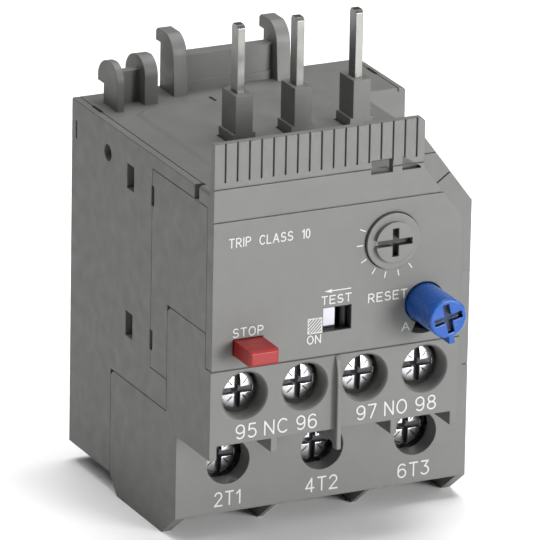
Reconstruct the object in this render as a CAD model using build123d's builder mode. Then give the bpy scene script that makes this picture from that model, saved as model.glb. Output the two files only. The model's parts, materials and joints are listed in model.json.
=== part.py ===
"""Three-pole thermal overload relay that hangs under a contactor.

The part stands on the fins of its terminal block. Model x runs to the right, y backwards and z up.
Most sizes are given as x, depth behind the front panel, and height above the fins.
"""

import os
from math import atan, atan2, cos, degrees, hypot, pi, radians, sin, sqrt

from build123d import *

os.makedirs("parts", exist_ok=True)

# Outer form
body_width = 45.0
body_depth = 46.9
wall_top_z = 54.4
wall = 1.4
seam = 0.12
step_depth = 11.0
front_inset = 7.0
bevel_slope = 1.34
front_bevel_drop = 8.2
body_bevel_drop = 10.0
body_bevel_end = 32.3
edge_round = 0.5
rear_round = 0.2
fit = 0.05
press = 0.01
clearance = 0.15
past = 20.0
over = 1.0
hidden_sides = 16

# Parting lines of the shells
cover_depth = 1.95
cover_lip_depth = 4.7
band_start = 6.2
cover_foot_z = 28.9
side_step_z = 33.9
mech_top_z = 52.1
mech_rear = 19.8
mech_floor_z = 23.0
contact_rear = 14.4
lower_rear = 32.85
lower_top_z = 18.35
corner_notch = 0.8
floor_drop = 0.2
band_groove_ends = ((16.99, 47.55), (19.03, 49.06))
strip_notch_z = 20.1
strip_notch_length = 0.9

# Foot of the terminal block
skirt_z = 15.8
lower_face_foot_z = 3.4
rear_foot_z = 2.8
fin_front = 15.4
fin_back = 30.3
outer_fin = 1.45
middle_fin = 0.7

# Panel, blank strip and finger bar
strip_z = 50.4
bar_foot_z = 55.15
bar_top_z = 61.6
bar_thickness = 1.2
bar_width = 31.85
line_width = 0.2
line_depth = 0.3
finger_pitch = 1.81
finger_first = 1.65
finger_groove = 0.26
finger_foot = 0.9
bar_window_foot_z = 54.3
bar_window_top_z = 56.3
bar_round = 0.5
bar_window_start = 23.75
bar_window_width = 3.3
bar_notch = ((28.5, 54.35), (28.5, 56.4), (31.3, 54.6), (31.3, 54.35))

# Setting dial
dial_x = 4.7
dial_z = 44.37
dial_radius = 4.05
dial_thickness = 1.7
dial_proud = 0.5
hub_radius = 2.95
hub_proud = 1.1
dial_slot_width = 0.97
dial_slot_height = 4.1
dial_slot_reach = 5.5
dial_slot_depth = 1.1
dial_gap = 0.12
shaft_radius = 2.5
shaft_square = 3.0
dial_sleeve_wall = 1.1
dial_sleeve_end = 4.6
cam_front = 8.8
cam_thickness = 2.0
cam_mean_radius = 3.6
cam_low_radius = 2.7
cam_rise = 0.22
cam_from = 225.0
cam_to = 395.0
cam_steps = 16
cam_low_gap = 25.0
cam_low_steps = 6

# Reset button
reset_x = 9.85
reset_z = 34.65
reset_radius = 2.8
reset_proud = 7.5
reset_gap = 0.2
reset_shoulder = 0.5
reset_shoulder_end = 3.2
reset_slot_length = 4.3
reset_slot_width = 1.0
reset_slot_depth = 0.8
reset_slot_turn = 13.4
rim_chamfer = 0.2
reset_bore_radius = 1.3
reset_bore_depth = 6.0
pointer_angle = -80.0
pointer_sweep = 27.0
pointer_half_angle = 7.0
pointer_radius = 3.7
pointer_steps = 4
pointer_pocket_margin = 0.5
pointer_back = 0.6
pointer_pocket_radius = 4.55
reset_sleeve_inner = 3.5
reset_sleeve_outer = 4.1
reset_sleeve_end = 9.8
sleeve_floor = 1.0
plunger_flange = 1.0
plunger_flange_radius = 2.4
plunger_end = 12.0
button_travel = 2.5

# Stop button
stop_x = -17.03
stop_z = 32.02
stop_width = 4.4
stop_height = 2.2
stop_proud = 5.4
stop_gap = 0.1
stop_shoulder = 0.5
stop_stem_radius = 0.8
stop_stem_end = 10.6
stop_guide_front = 8.4
stop_guide_thickness = 1.0

# Test window and slider
window_left = -5.7
window_right = -1.35
window_foot_z = 32.35
window_top_z = 35.9
slider_pocket_depth = 1.2
slider_overlap = 0.55
slider_show = 2.4
slider_hidden = 1.9
slider_thickness = 1.35
test_travel = 1.4
slider_bar_foot_z = 36.3
slider_bar_height = 1.4
slider_bar_depth = 12.6
slider_bar_thickness = 1.0
rail_height = 0.8
rail_end = 2.6

# Control terminals
contact_face = 0.3
contact_outer_wall = 1.1
contact_partition = 0.9
contact_screw_z = 24.7
contact_hole_wall = 0.84
head_gap = 0.3
contact_front_wall = 3.0
contact_head_depth = 3.9
contact_head_thickness = 2.2
contact_shank_radius = 1.75
contact_shank_length = 6.0
contact_lip_z = 17.8
contact_clamp_thickness = 1.1
contact_clamp_size = 7.0
contact_plate_thickness = 1.1
contact_plate_width = 6.8
contact_plate_foot_z = 20.9
contact_strip_top_z = 28.6
contact_strip_thickness = 1.0
contact_strip_width = 3.0
contact_strip_end = 17.4
divider_proud = 1.2
divider_width = 1.4

# Main terminals
main_screw_z = 10.85
main_outer_wall = 1.9
main_partition = 2.3
main_front_wall = 2.8
main_hole_radius = 3.3
main_head_depth = 14.4
main_head_radius = 3.1
main_head_thickness = 2.2
main_shank_radius = 2.0
main_shank_length = 8.4
main_clamp_thickness = 1.2
main_clamp_width = 8.6
main_clamp_foot_z = 6.4
main_clamp_top_z = 15.2
main_plate_thickness = 1.4
main_plate_width = 9.0
main_plate_foot_z = 6.0
flange_thickness = 1.2
flange_half_width = 3.0
block_ceiling = 1.45
wire_stop_top_z = 8.5
wire_stop_thickness = 2.1
hole_chamfer = 0.3
drive_margin = 0.5
drive_width = 1.1
drive_depth = 1.2
drive_mark_width = 0.25
drive_mark_depth = 0.25

# Pins and their collars
pole_pitch = 9.05
pin_depth = 21.2
pin_width = 1.1
pin_length = 2.0
pin_top_z = 71.0
pin_taper = 0.45
pin_tip = 0.35
collar_width = 2.65
collar_length = 4.4
collar_top_z = 61.2
collar_base_z = 55.7
collar_base_step = 0.45
collar_flare = 0.8
flare_steps = 4
pocket_depth = 0.8
pocket_margin = 0.8
pocket_length = 2.6
ledge_drop = 0.25
deck_left = -16.9
deck_rear = 36.9
deck_turn_x = -0.5
deck_round = 1.2
deck_slope = 0.75
top_seam_inset = 1.15
top_seam_width = 0.15
clip_slot_width = 0.5
clip_slot_drop = 2.0
clip_slot_front = 39.2
clip_slot_length = 3.0
small_slot_x = -4.55
small_slot_front = 37.7
small_slot_length = 2.0

# Guide ears, hooks and the plate between them
ear_starts = (-19.45, -14.6)
ear_widths = (1.05, 2.0)
ear_fronts = (38.3, 39.65)
ear_stem = 4.6
ear_reach = 6.6
ear_nose_height = 1.2
ear_shoulder_z = 58.2
ear_top_z = 60.7
ear_nose_z = 57.05
ear_web_top_z = 58.9
ear_web_front = 41.6
hook_mid_x = -0.1
hook_spacing = 16.1
hook_width = 2.1
hook_foot_front = 41.3
hook_front = 42.0
hook_neck = 46.3
hook_chamfer = 0.5
hook_shoulder_z = 60.0
hook_top_z = 62.65
hook_crest = 44.4
hook_reach = 0.9
hook_nose_z = 60.8
plate_front = 43.3
plate_back = 45.5
plate_top_z = 59.5
plate_step = 0.2
plate_step_top_z = 55.6

# Openings in the left side
window_slot_front = 25.8
window_slot_width = 2.35
window_slot_feet = (25.0, 46.7)
window_slot_height = 3.65
seam_slot_width = 0.65
seam_slot_feet = (25.6, 46.7)
seam_slot_height = 2.95
side_hole_depth = 34.6
side_hole_z = 49.8
side_hole_radius = 1.22
edge_slot_front = 45.0
edge_slot_width = 0.5
edge_slot_foot_z = 48.6
edge_slot_height = 2.6
edge_slot_cut = 0.8

# Heaters and bimetal strips
heater_pitch = 11.5
foot_thickness = 1.2
foot_top_z = 48.8
foot_front = 20.3
foot_half_width = 2.0
foot_turn = 27.0
foot_turn_end = 31.0
foot_end = 37.9
bimetal_thickness = 0.8
bimetal_front = 31.5
bimetal_width = 5.0
bimetal_foot_z = 24.0
winding_gap = 0.6
winding_wire = 0.6
winding_turns = 7
winding_pitch = 2.0
winding_turn_height = 1.1
winding_foot_z = 29.0
riser_thickness = 1.2
riser_width = 3.0
riser_top_z = 26.0
riser_gap = 0.3

# Trip slide, lever and contact carrier
trip_travel = 1.2
slide_foot_z = 24.9
slide_height = 1.7
slide_bar_front = 37.0
slide_bar_thickness = 1.6
slide_left = -16.0
slide_finger = 1.5
slide_finger_front = 33.0
slide_arm_width = 1.05
slide_arm_end = 15.6
slide_window = 0.3
shelf_thickness = 1.6
shelf_lip = 1.0
shelf_width = 3.0
shelf_starts = (-19.0, 4.0)
finger_gap = 0.1
push_gap = 0.15
lever_z = 33.0
lever_front = 14.8
lever_thickness = 1.6
lever_hub_radius = 2.1
lever_neck = 0.8
lever_neck_foot_z = 27.6
lever_top_z = 40.2
nose_radius = 0.8
lever_pin_radius = 1.0
pin_head_radius = 1.6
pin_head_thickness = 0.6
boss_radius = 2.0
compensation_thickness = 0.6
compensation_width = 3.0
beam_foot_z = 32.0
beam_top_z = 34.0
carrier_front = 14.75
carrier_post = 2.6
carrier_lip = 0.7
guide_rib = 1.0
bridge_front = 15.5
bridge_width = 1.8
bridge_thickness = 0.6
bridge_reach = 1.2
rivet_radius = 0.85
rivet_height = 0.4
contact_gap = 1.0
spring_radius = 1.7
spring_wire = 0.45
spring_sides = 8
carrier_rings = 6
button_rings = 5
spring_post_radius = 0.9
spring_post_height = 2.0

# Adjusting lever
adjuster_x = 10.6
adjuster_z = 47.6
adjuster_width = 1.8
adjuster_boss_radius = 1.7
adjuster_pin_radius = 0.8
adjuster_foot_z = 40.2
adjuster_tip_x = 12.1
adjuster_tip_z = 39.6
adjuster_peg_radius = 0.55
adjuster_heel = 1.0

# Places worked out from the sizes above
half = body_width / 2
left = -half
front_width = body_width - front_inset
front_right = left + front_width
front_mid = left + front_width / 2
overall_depth = reset_proud + body_depth + hook_reach
panel_y = reset_proud - overall_depth / 2
gap = seam / 2
bevel_angle = atan(bevel_slope)
inner_rear = body_depth - wall
inner_half = half - wall
base_floor_z = rear_foot_z + wall
mech_ceiling_z = mech_top_z - wall
mech_inner_rear = mech_rear - wall
mech_inner_floor_z = mech_floor_z + wall - floor_drop
inner_step = step_depth + wall
panel_inner_right = front_right - wall
ledge_z = wall_top_z - ledge_drop
block_roof_z = cover_foot_z + wall - floor_drop
contact_pitch = (front_width - 2 * contact_outer_wall + contact_partition) / 4
contact_xs = [front_mid + (i - 1.5) * contact_pitch for i in range(4)]
contact_chamber = (contact_pitch - contact_partition) / 2
contact_hole_radius = contact_chamber - contact_hole_wall
contact_head_radius = contact_hole_radius - head_gap
contact_clamp_front = contact_head_depth + contact_head_thickness
contact_plate_front = contact_clamp_front + contact_clamp_thickness
contact_plate_back = contact_plate_front + contact_plate_thickness
contact_strip_foot_z = contact_strip_top_z - contact_strip_thickness
main_pitch = (body_width - 2 * main_outer_wall + main_partition) / 3
main_xs = [(i - 1) * main_pitch for i in range(3)]
main_chamber = (main_pitch - main_partition) / 2
main_clamp_front = main_head_depth + main_head_thickness
main_plate_front = main_clamp_front + main_clamp_thickness
main_plate_back = main_plate_front + main_plate_thickness
block_ceiling_z = lower_top_z - block_ceiling
pin_xs = [(i - 1) * pole_pitch for i in range(3)]
heater_xs = [(i - 1) * heater_pitch for i in range(3)]
foot_z = foot_top_z - foot_thickness
winding_front = bimetal_front - winding_gap - winding_wire
winding_back = bimetal_front + bimetal_width + winding_gap + winding_wire
winding_half = bimetal_thickness / 2 + winding_gap + winding_wire
winding_top_z = winding_foot_z + (winding_turns - 1) * winding_pitch + winding_turn_height
riser_back = winding_front
riser_front = riser_back - riser_thickness
slide_top_z = slide_foot_z + slide_height
slide_bar_back = slide_bar_front + slide_bar_thickness
arm_left = heater_pitch + riser_width / 2 + clearance * 2
arm_right = arm_left + slide_arm_width
compensation_left = arm_right + push_gap
compensation_right = compensation_left + compensation_thickness
lever_x = compensation_right + lever_neck / 2
push_z = slide_foot_z + slide_height / 2
lever_arm = lever_z - push_z
lever_angle = trip_travel / lever_arm
carrier_travel = contact_gap - fit
nose_x = lever_x - carrier_travel / lever_angle
nose_z = beam_top_z + fit * 2 + nose_radius
lever_back = lever_front + lever_thickness
beam_right = nose_x + nose_radius
opening_x = (contact_xs[0] + contact_xs[1]) / 2
closing_x = (contact_xs[2] + contact_xs[3]) / 2
beam_left = opening_x - carrier_post / 2 - clearance
carrier_back = mech_inner_rear - fit
opening_bridge_z = contact_strip_foot_z - 2 * rivet_height - bridge_thickness
closing_bridge_z = contact_strip_top_z + 2 * rivet_height + contact_gap
spring_x = (opening_x + closing_x) / 2
spring_depth = (carrier_front + carrier_back) / 2
slider_left = window_left - slider_hidden
slider_right = window_left + slider_show
slider_front = slider_pocket_depth + fit
slider_back = slider_front + slider_thickness
slider_foot_z = window_foot_z - slider_overlap
slider_top_z = window_top_z + slider_overlap
slider_tab_left = lever_x + lever_neck / 2 + test_travel + clearance
plunger_radius = reset_bore_radius - fit
pocket_floor_z = wall_top_z - pocket_depth
ear_web_back = ear_fronts[0] + ear_stem
pointer_pocket_end = pointer_back + button_travel + reset_gap * 5
cam_back = cam_front + cam_thickness


# Planes and basic cuts, all placed by x, depth behind the panel, and height
def front_plane(depth):
    """Plane that faces the user: sketch x is x and sketch y is height."""
    return Plane(origin=(0, panel_y + depth, 0), x_dir=(1, 0, 0), z_dir=(0, -1, 0))


def side_plane(x):
    """Plane that faces right: sketch x is depth and sketch y is height."""
    return Plane(origin=(x, panel_y, 0), x_dir=(0, 1, 0), z_dir=(1, 0, 0))


def top_plane(z):
    """Plane that faces up: sketch x is x and sketch y is depth."""
    return Plane(origin=(0, panel_y, z), x_dir=(1, 0, 0), z_dir=(0, 0, 1))


def profile(plane, corners):
    """Sketch a closed straight-sided outline."""
    with BuildSketch(plane) as sketch:
        with BuildLine():
            Polyline(*corners, close=True)
        make_face()
    return sketch.sketch


def through(corners, start, end, mode=Mode.ADD):
    """Extrude a front view backwards between two depths."""
    extrude(profile(front_plane(start), corners), amount=start - end, mode=mode)


def across(corners, start, end, mode=Mode.ADD):
    """Extrude a side view to the right between two x places."""
    extrude(profile(side_plane(start), corners), amount=end - start, mode=mode)


def upright(corners, start, end, mode=Mode.ADD):
    """Extrude a plan view upwards between two heights."""
    extrude(profile(top_plane(start), corners), amount=end - start, mode=mode)


def rod(x, z, radius, start, end, mode=Mode.ADD):
    """Cylinder along the depth between two depths."""
    with BuildSketch(front_plane(start)) as circle:
        with Locations((x, z)):
            Circle(radius)
    extrude(circle.sketch, amount=start - end, mode=mode)


def hidden_rod(x, z, radius, start, end, mode=Mode.ADD):
    """Many-sided rod along the depth, or a hole whose flats touch its circle."""
    with BuildSketch(front_plane(start)) as outline:
        with Locations((x, z)):
            RegularPolygon(radius, hidden_sides, major_radius=mode is Mode.ADD)
    extrude(outline.sketch, amount=start - end, mode=mode)


def block(xs, depths, zs, mode=Mode.ADD):
    """Rectangular block between pairs of limits."""
    corners = [(xs[0], zs[0]), (xs[1], zs[0]), (xs[1], zs[1]), (xs[0], zs[1])]
    through(corners, depths[0], depths[1], mode)


def bevel_x(right, drop, z, inset=0.0):
    """Place of the bevelled corner at a height, moved inwards by a wall."""
    return right - (z - wall_top_z + drop) / bevel_slope - inset / sin(bevel_angle)


def hollow(right, drop, floor_z, ceiling_z):
    """Front view of the space inside a bevelled shell."""
    knee_z = wall_top_z - drop - wall * (1 / sin(bevel_angle) - 1) * bevel_slope
    return [
        (left + wall, floor_z),
        (right - wall, floor_z),
        (right - wall, knee_z),
        (bevel_x(right, drop, ceiling_z, wall), ceiling_z),
        (left + wall, ceiling_z),
    ]


def pie(x, z, radius, middle, half_angle, start, end, mode):
    """Sector round a centre, extruded backwards."""
    share = [2 * i / pointer_steps - 1 for i in range(pointer_steps + 1)]
    turns = [radians(middle + half_angle * part) for part in share]
    corners = [(x + radius * cos(turn), z + radius * sin(turn)) for turn in turns]
    through([(x, z)] + corners, start, end, mode)


def spring(length, radius, rings):
    """Wave spring along the local z axis, as rings joined by alternate links."""
    pitch = (length - spring_wire) / (rings - 1)
    turn = 180 / spring_sides
    link_x = radius * cos(radians(turn)) - spring_wire / 2
    with BuildPart(mode=Mode.PRIVATE) as coil:
        for i in range(rings):
            with BuildSketch(Plane.XY.offset(i * pitch)):
                RegularPolygon(radius, spring_sides, rotation=turn)
                RegularPolygon(radius - spring_wire, spring_sides, rotation=turn, mode=Mode.SUBTRACT)
            extrude(amount=spring_wire)
        for i in range(rings - 1):
            side = 1 if i % 2 else -1
            with Locations((side * link_x, 0, (i + 0.5) * pitch + spring_wire / 2)):
                Box(spring_wire, spring_wire, pitch + spring_wire / 2)
    return coil.part


# Outer form that the shells share
side_outline = [
    (0, skirt_z),
    (0, wall_top_z),
    (body_depth, wall_top_z),
    (body_depth, rear_foot_z),
    (lower_rear, rear_foot_z),
    (fin_back, 0),
    (fin_front, 0),
    (step_depth, lower_face_foot_z),
    (step_depth, skirt_z),
]
with BuildPart() as envelope:
    across(side_outline, left, half)
    block((front_right, half + past), (-past, step_depth), (-past, wall_top_z + past), Mode.SUBTRACT)
    for right, drop, start, end in (
        (front_right, front_bevel_drop, -past, step_depth),
        (half, body_bevel_drop, step_depth, body_bevel_end),
    ):
        corner = [
            (bevel_x(right, drop, wall_top_z + past), wall_top_z + past),
            (right + past, wall_top_z + past),
            (right + past, wall_top_z - drop),
            (right, wall_top_z - drop),
        ]
        through(corner, start, end, Mode.SUBTRACT)
    fin_edges = [left + outer_fin]
    for x in (-main_pitch / 2, main_pitch / 2):
        fin_edges += [x - middle_fin / 2, x + middle_fin / 2]
    fin_edges.append(half - outer_fin)
    for start, end in zip(fin_edges[::2], fin_edges[1::2]):
        block((start, end), (step_depth - over, lower_rear), (-past, lower_face_foot_z), Mode.SUBTRACT)
    fillet(envelope.edges().filter_by(Axis.Z).group_by(Axis.Y)[-1], radius=rear_round)
    fillet(envelope.edges().filter_by(Axis.Y).group_by(Axis.X)[0].sort_by(Axis.Z)[-1], radius=edge_round)

# Side views of what belongs to each shell, parted by the seams
cover_zone = [
    (-past, cover_foot_z + gap),
    (-past, wall_top_z + past),
    (cover_lip_depth, wall_top_z + past),
    (cover_lip_depth, mech_top_z + gap),
    (cover_depth - gap, mech_top_z + gap),
    (cover_depth - gap, cover_foot_z + gap),
]
mech_zone = [
    (cover_depth + gap, side_step_z + gap),
    (cover_depth + gap, mech_top_z - gap),
    (mech_rear - gap, mech_top_z - gap),
    (mech_rear - gap, mech_floor_z + gap),
    (contact_rear + gap, mech_floor_z + gap),
    (contact_rear + gap, side_step_z + gap),
]
terminal_zone = [
    (-past, -past),
    (-past, cover_foot_z - gap),
    (cover_depth + gap, cover_foot_z - gap),
    (cover_depth + gap, side_step_z - gap),
    (contact_rear - gap - corner_notch, side_step_z - gap),
    (contact_rear - gap, side_step_z - gap - corner_notch),
    (contact_rear - gap, lower_top_z - gap),
    (lower_rear - gap - corner_notch, lower_top_z - gap),
    (lower_rear - gap, lower_top_z - gap - corner_notch),
    (lower_rear - gap, -past),
]
base_zone = [
    (cover_lip_depth + seam, mech_top_z + gap),
    (cover_lip_depth + seam, wall_top_z + past),
    (body_depth + past, wall_top_z + past),
    (body_depth + past, -past),
    (lower_rear + gap, -past),
    (lower_rear + gap, lower_top_z + gap),
    (contact_rear + gap, lower_top_z + gap),
    (contact_rear + gap, mech_floor_z - gap),
    (mech_rear + gap, mech_floor_z - gap),
    (mech_rear + gap, mech_top_z + gap),
]

# Top of the base: a raised deck with sloped edges above the ledge along the left and the back
def deck_outline(grow):
    """Plan view of the deck, moved outwards by a distance."""
    turn = grow * (sqrt(2) - 1)
    return [
        (deck_left - grow, -past),
        (deck_left - grow, deck_rear - deck_round + turn),
        (deck_left + deck_round - turn, deck_rear + grow),
        (deck_turn_x - grow, deck_rear + grow),
        (deck_turn_x - grow, body_depth + past),
        (half + past, body_depth + past),
        (half + past, -past),
    ]


with BuildPart() as top_form:
    block((left - past, half + past), (-past, body_depth + past), (-past, ledge_z))
    foot_outline = profile(top_plane(ledge_z), deck_outline(deck_slope))
    top_outline = profile(top_plane(wall_top_z), deck_outline(0))
    loft(sections=[foot_outline, top_outline], ruled=True)

# Base housing: rear box, top plate, collars, guide ears and hooks
with BuildPart() as base_housing:
    add(envelope.part)
    across(base_zone, left - past, half + past, Mode.INTERSECT)
    add(top_form.part, mode=Mode.INTERSECT)
    rear_space = hollow(half, body_bevel_drop, base_floor_z, mech_top_z)
    through(rear_space, contact_rear - over, inner_rear, Mode.SUBTRACT)
    base_room_depths = (body_bevel_end + wall, inner_rear)
    block((-inner_half, inner_half), base_room_depths, (base_floor_z, mech_top_z), Mode.SUBTRACT)
    notch_zs = (mech_top_z, wall_top_z + over)
    block((left - over, left + wall), (cover_lip_depth, band_start), notch_zs, Mode.SUBTRACT)
    for side in (-1, 1):
        seam_x = side * (half - top_seam_inset)
        seam_xs = (seam_x - top_seam_width / 2, seam_x + top_seam_width / 2)
        seam_zs = (ledge_z - line_depth, wall_top_z + over)
        block(seam_xs, (band_start, body_depth + over), seam_zs, Mode.SUBTRACT)
        slot_xs = (seam_x - clip_slot_width / 2, seam_x + clip_slot_width / 2)
        slot_depths = (clip_slot_front, clip_slot_front + clip_slot_length)
        block(slot_xs, slot_depths, (ledge_z - clip_slot_drop, wall_top_z + over), Mode.SUBTRACT)
    slot_xs = (small_slot_x - clip_slot_width / 2, small_slot_x + clip_slot_width / 2)
    slot_depths = (small_slot_front, small_slot_front + small_slot_length)
    block(slot_xs, slot_depths, (ledge_z - line_depth, wall_top_z + over), Mode.SUBTRACT)
    for x in pin_xs:
        side = collar_width / 2
        pocket = (pin_depth - collar_length / 2 - pocket_length, pin_depth + collar_length / 2)
        margin = side + pocket_margin
        block((x - margin, x + margin), pocket, (pocket_floor_z, wall_top_z + past), Mode.SUBTRACT)
        collar = (pin_depth - collar_length / 2, pin_depth + collar_length / 2)
        foot_level = pocket_floor_z - edge_round
        block((x - side, x + side), collar, (foot_level, collar_top_z))
        wide = side + collar_base_step
        block((x - wide, x + wide), collar, (foot_level, collar_base_z))
        bends = [pi / 2 * i / flare_steps for i in range(flare_steps + 1)]
        flare = [
            (collar[0] - collar_flare * (1 - sin(bend)), pocket_floor_z + collar_flare * (1 - cos(bend)))
            for bend in bends
        ]
        flare += [(collar[0] + clearance, flare[-1][1]), (collar[0] + clearance, foot_level)]
        flare.append((collar[0] - collar_flare, foot_level))
        across(flare, x - wide, x + wide)
        pin_hole = (pin_depth - pin_length / 2 - fit, pin_depth + pin_length / 2 + fit)
        hole_half = pin_width / 2 + fit
        hole_heights = (mech_top_z - over, collar_top_z + over)
        block((x - hole_half, x + hole_half), pin_hole, hole_heights, Mode.SUBTRACT)
    for start, width, ear_front in zip(ear_starts, ear_widths, ear_fronts):
        ear_back = ear_front + ear_stem
        ear_nose = ear_front + ear_reach
        with BuildSketch(side_plane(start)):
            with BuildLine():
                Polyline((ear_front, mech_top_z + seam), (ear_front, ear_shoulder_z))
                crest = ((ear_front + ear_nose) / 2, ear_top_z)
                TangentArc((ear_front, ear_shoulder_z), crest, tangent=(0, 1))
                nose_top = (ear_nose, ear_nose_z + ear_nose_height)
                TangentArc(crest, nose_top, tangent=(1, 0))
                Polyline(
                    nose_top,
                    (ear_nose, ear_nose_z),
                    (ear_back, ear_nose_z),
                    (ear_back, mech_top_z + seam),
                    (ear_front, mech_top_z + seam),
                )
            make_face()
        extrude(amount=width)
    web_xs = (ear_starts[0] + ear_widths[0] / 2, ear_starts[1] + ear_widths[1] / 2)
    block(web_xs, (ear_web_front, ear_web_back), (mech_top_z + seam, ear_web_top_z))
    for side in (-1, 1):
        hook_left = hook_mid_x + side * hook_spacing / 2 - hook_width / 2
        with BuildSketch(side_plane(hook_left)):
            with BuildLine():
                lean = (hook_front - hook_foot_front, hook_shoulder_z - mech_top_z)
                Polyline((hook_foot_front, mech_top_z + seam), (hook_front, hook_shoulder_z))
                TangentArc((hook_front, hook_shoulder_z), (hook_crest, hook_top_z), tangent=lean)
                Polyline(
                    (hook_crest, hook_top_z),
                    (body_depth + hook_reach - hook_chamfer, hook_top_z),
                    (body_depth + hook_reach, hook_top_z - hook_chamfer),
                    (body_depth + hook_reach, hook_nose_z),
                    (hook_neck, hook_nose_z),
                    (hook_neck, mech_top_z + seam),
                    (hook_foot_front, mech_top_z + seam),
                )
            make_face()
        extrude(amount=hook_width)
    plate_half = (hook_spacing - hook_width) / 2 + clearance
    plate_xs = (hook_mid_x - plate_half, hook_mid_x + plate_half)
    block(plate_xs, (plate_front, plate_back), (mech_top_z + seam, plate_top_z))
    block(plate_xs, (plate_front - plate_step, plate_back), (mech_top_z + seam, plate_step_top_z))
    for foot in window_slot_feet:
        slot = (window_slot_front, window_slot_front + window_slot_width)
        block((left - over, left + wall + over), slot, (foot, foot + window_slot_height), Mode.SUBTRACT)
    for foot in seam_slot_feet:
        slot = (mech_rear - seam_slot_width, mech_rear + seam_slot_width / 2)
        block((left - over, left + wall + over), slot, (foot, foot + seam_slot_height), Mode.SUBTRACT)
    edge_slot = (edge_slot_front, edge_slot_front + edge_slot_width)
    edge_slot_zs = (edge_slot_foot_z, edge_slot_foot_z + edge_slot_height)
    block((left - over, left + edge_slot_cut), edge_slot, edge_slot_zs, Mode.SUBTRACT)
    with BuildSketch(side_plane(left - over)):
        with Locations((side_hole_depth, side_hole_z)):
            Circle(side_hole_radius)
    extrude(amount=wall + over * 2, mode=Mode.SUBTRACT)
    for start in shelf_starts:
        shelf = [
            (slide_bar_front - clearance, slide_foot_z),
            (slide_bar_back + finger_gap, slide_foot_z),
            (slide_bar_back + finger_gap, slide_top_z),
            (slide_bar_back + finger_gap + shelf_lip, slide_top_z),
            (inner_rear + wall / 2, slide_foot_z),
            (inner_rear + wall / 2, slide_foot_z - shelf_thickness - shelf_width),
            (inner_rear - clearance, slide_foot_z - shelf_thickness - shelf_width),
            (slide_bar_front - clearance, slide_foot_z - shelf_thickness),
        ]
        across(shelf, start, start + shelf_width)
base_housing.part.label = "base_housing"
export_step(base_housing.part, "parts/base_housing.step")

# Mechanism housing: the box behind the panel
with BuildPart() as mechanism_housing:
    add(envelope.part)
    across(mech_zone, left - past, half + past, Mode.INTERSECT)
    front_space = hollow(front_right, front_bevel_drop, mech_floor_z - past, mech_ceiling_z)
    through(front_space, 0, inner_step, Mode.SUBTRACT)
    wide_space = hollow(half, body_bevel_drop, mech_inner_floor_z, mech_ceiling_z)
    through(wide_space, inner_step, mech_inner_rear, Mode.SUBTRACT)
    for foot in seam_slot_feet:
        slot = (mech_rear - seam_slot_width, mech_rear + seam_slot_width)
        slot_zs = (foot, foot + seam_slot_height)
        block((left - over, left + wall), slot, slot_zs, Mode.SUBTRACT)
    groove_start, groove_end = band_groove_ends
    groove_run = (groove_end[0] - groove_start[0], groove_end[1] - groove_start[1])
    groove_middle = ((groove_start[0] + groove_end[0]) / 2, (groove_start[1] + groove_end[1]) / 2)
    groove_turn = degrees(atan2(groove_run[1], groove_run[0]))
    with BuildSketch(front_plane(step_depth)):
        with Locations(groove_middle):
            Rectangle(hypot(*groove_run), line_width, rotation=groove_turn)
    extrude(amount=-line_depth, mode=Mode.SUBTRACT)
    arm_window = (arm_left - slide_window, arm_right + trip_travel + slide_window)
    arm_window_zs = (slide_foot_z - slide_window, slide_top_z + slide_window)
    block(arm_window, (mech_inner_rear - over, mech_rear + over), arm_window_zs, Mode.SUBTRACT)
    hidden_rod(lever_x, lever_z, boss_radius, lever_back + finger_gap, mech_inner_rear)
    rod(lever_x, lever_z, lever_pin_radius + press, 0, mech_rear - wall / 3, Mode.SUBTRACT)
    hidden_rod(adjuster_x, adjuster_z, adjuster_boss_radius, cam_back + finger_gap, mech_inner_rear)
    rod(adjuster_x, adjuster_z, adjuster_pin_radius + press, 0, mech_rear - wall / 3, Mode.SUBTRACT)
    for start in (beam_left - finger_gap - guide_rib, beam_right + finger_gap):
        rib_zs = (closing_bridge_z + bridge_thickness + finger_gap, beam_top_z)
        rib_depths = (mech_inner_rear - 2 * guide_rib, mech_inner_rear)
        block((start, start + guide_rib), rib_depths, rib_zs)
    with BuildSketch(top_plane(mech_inner_floor_z)):
        with Locations((spring_x, spring_depth)):
            Circle(spring_post_radius)
    extrude(amount=spring_post_height)
mechanism_housing.part.label = "mechanism_housing"
export_step(mechanism_housing.part, "parts/mechanism_housing.step")

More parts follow.
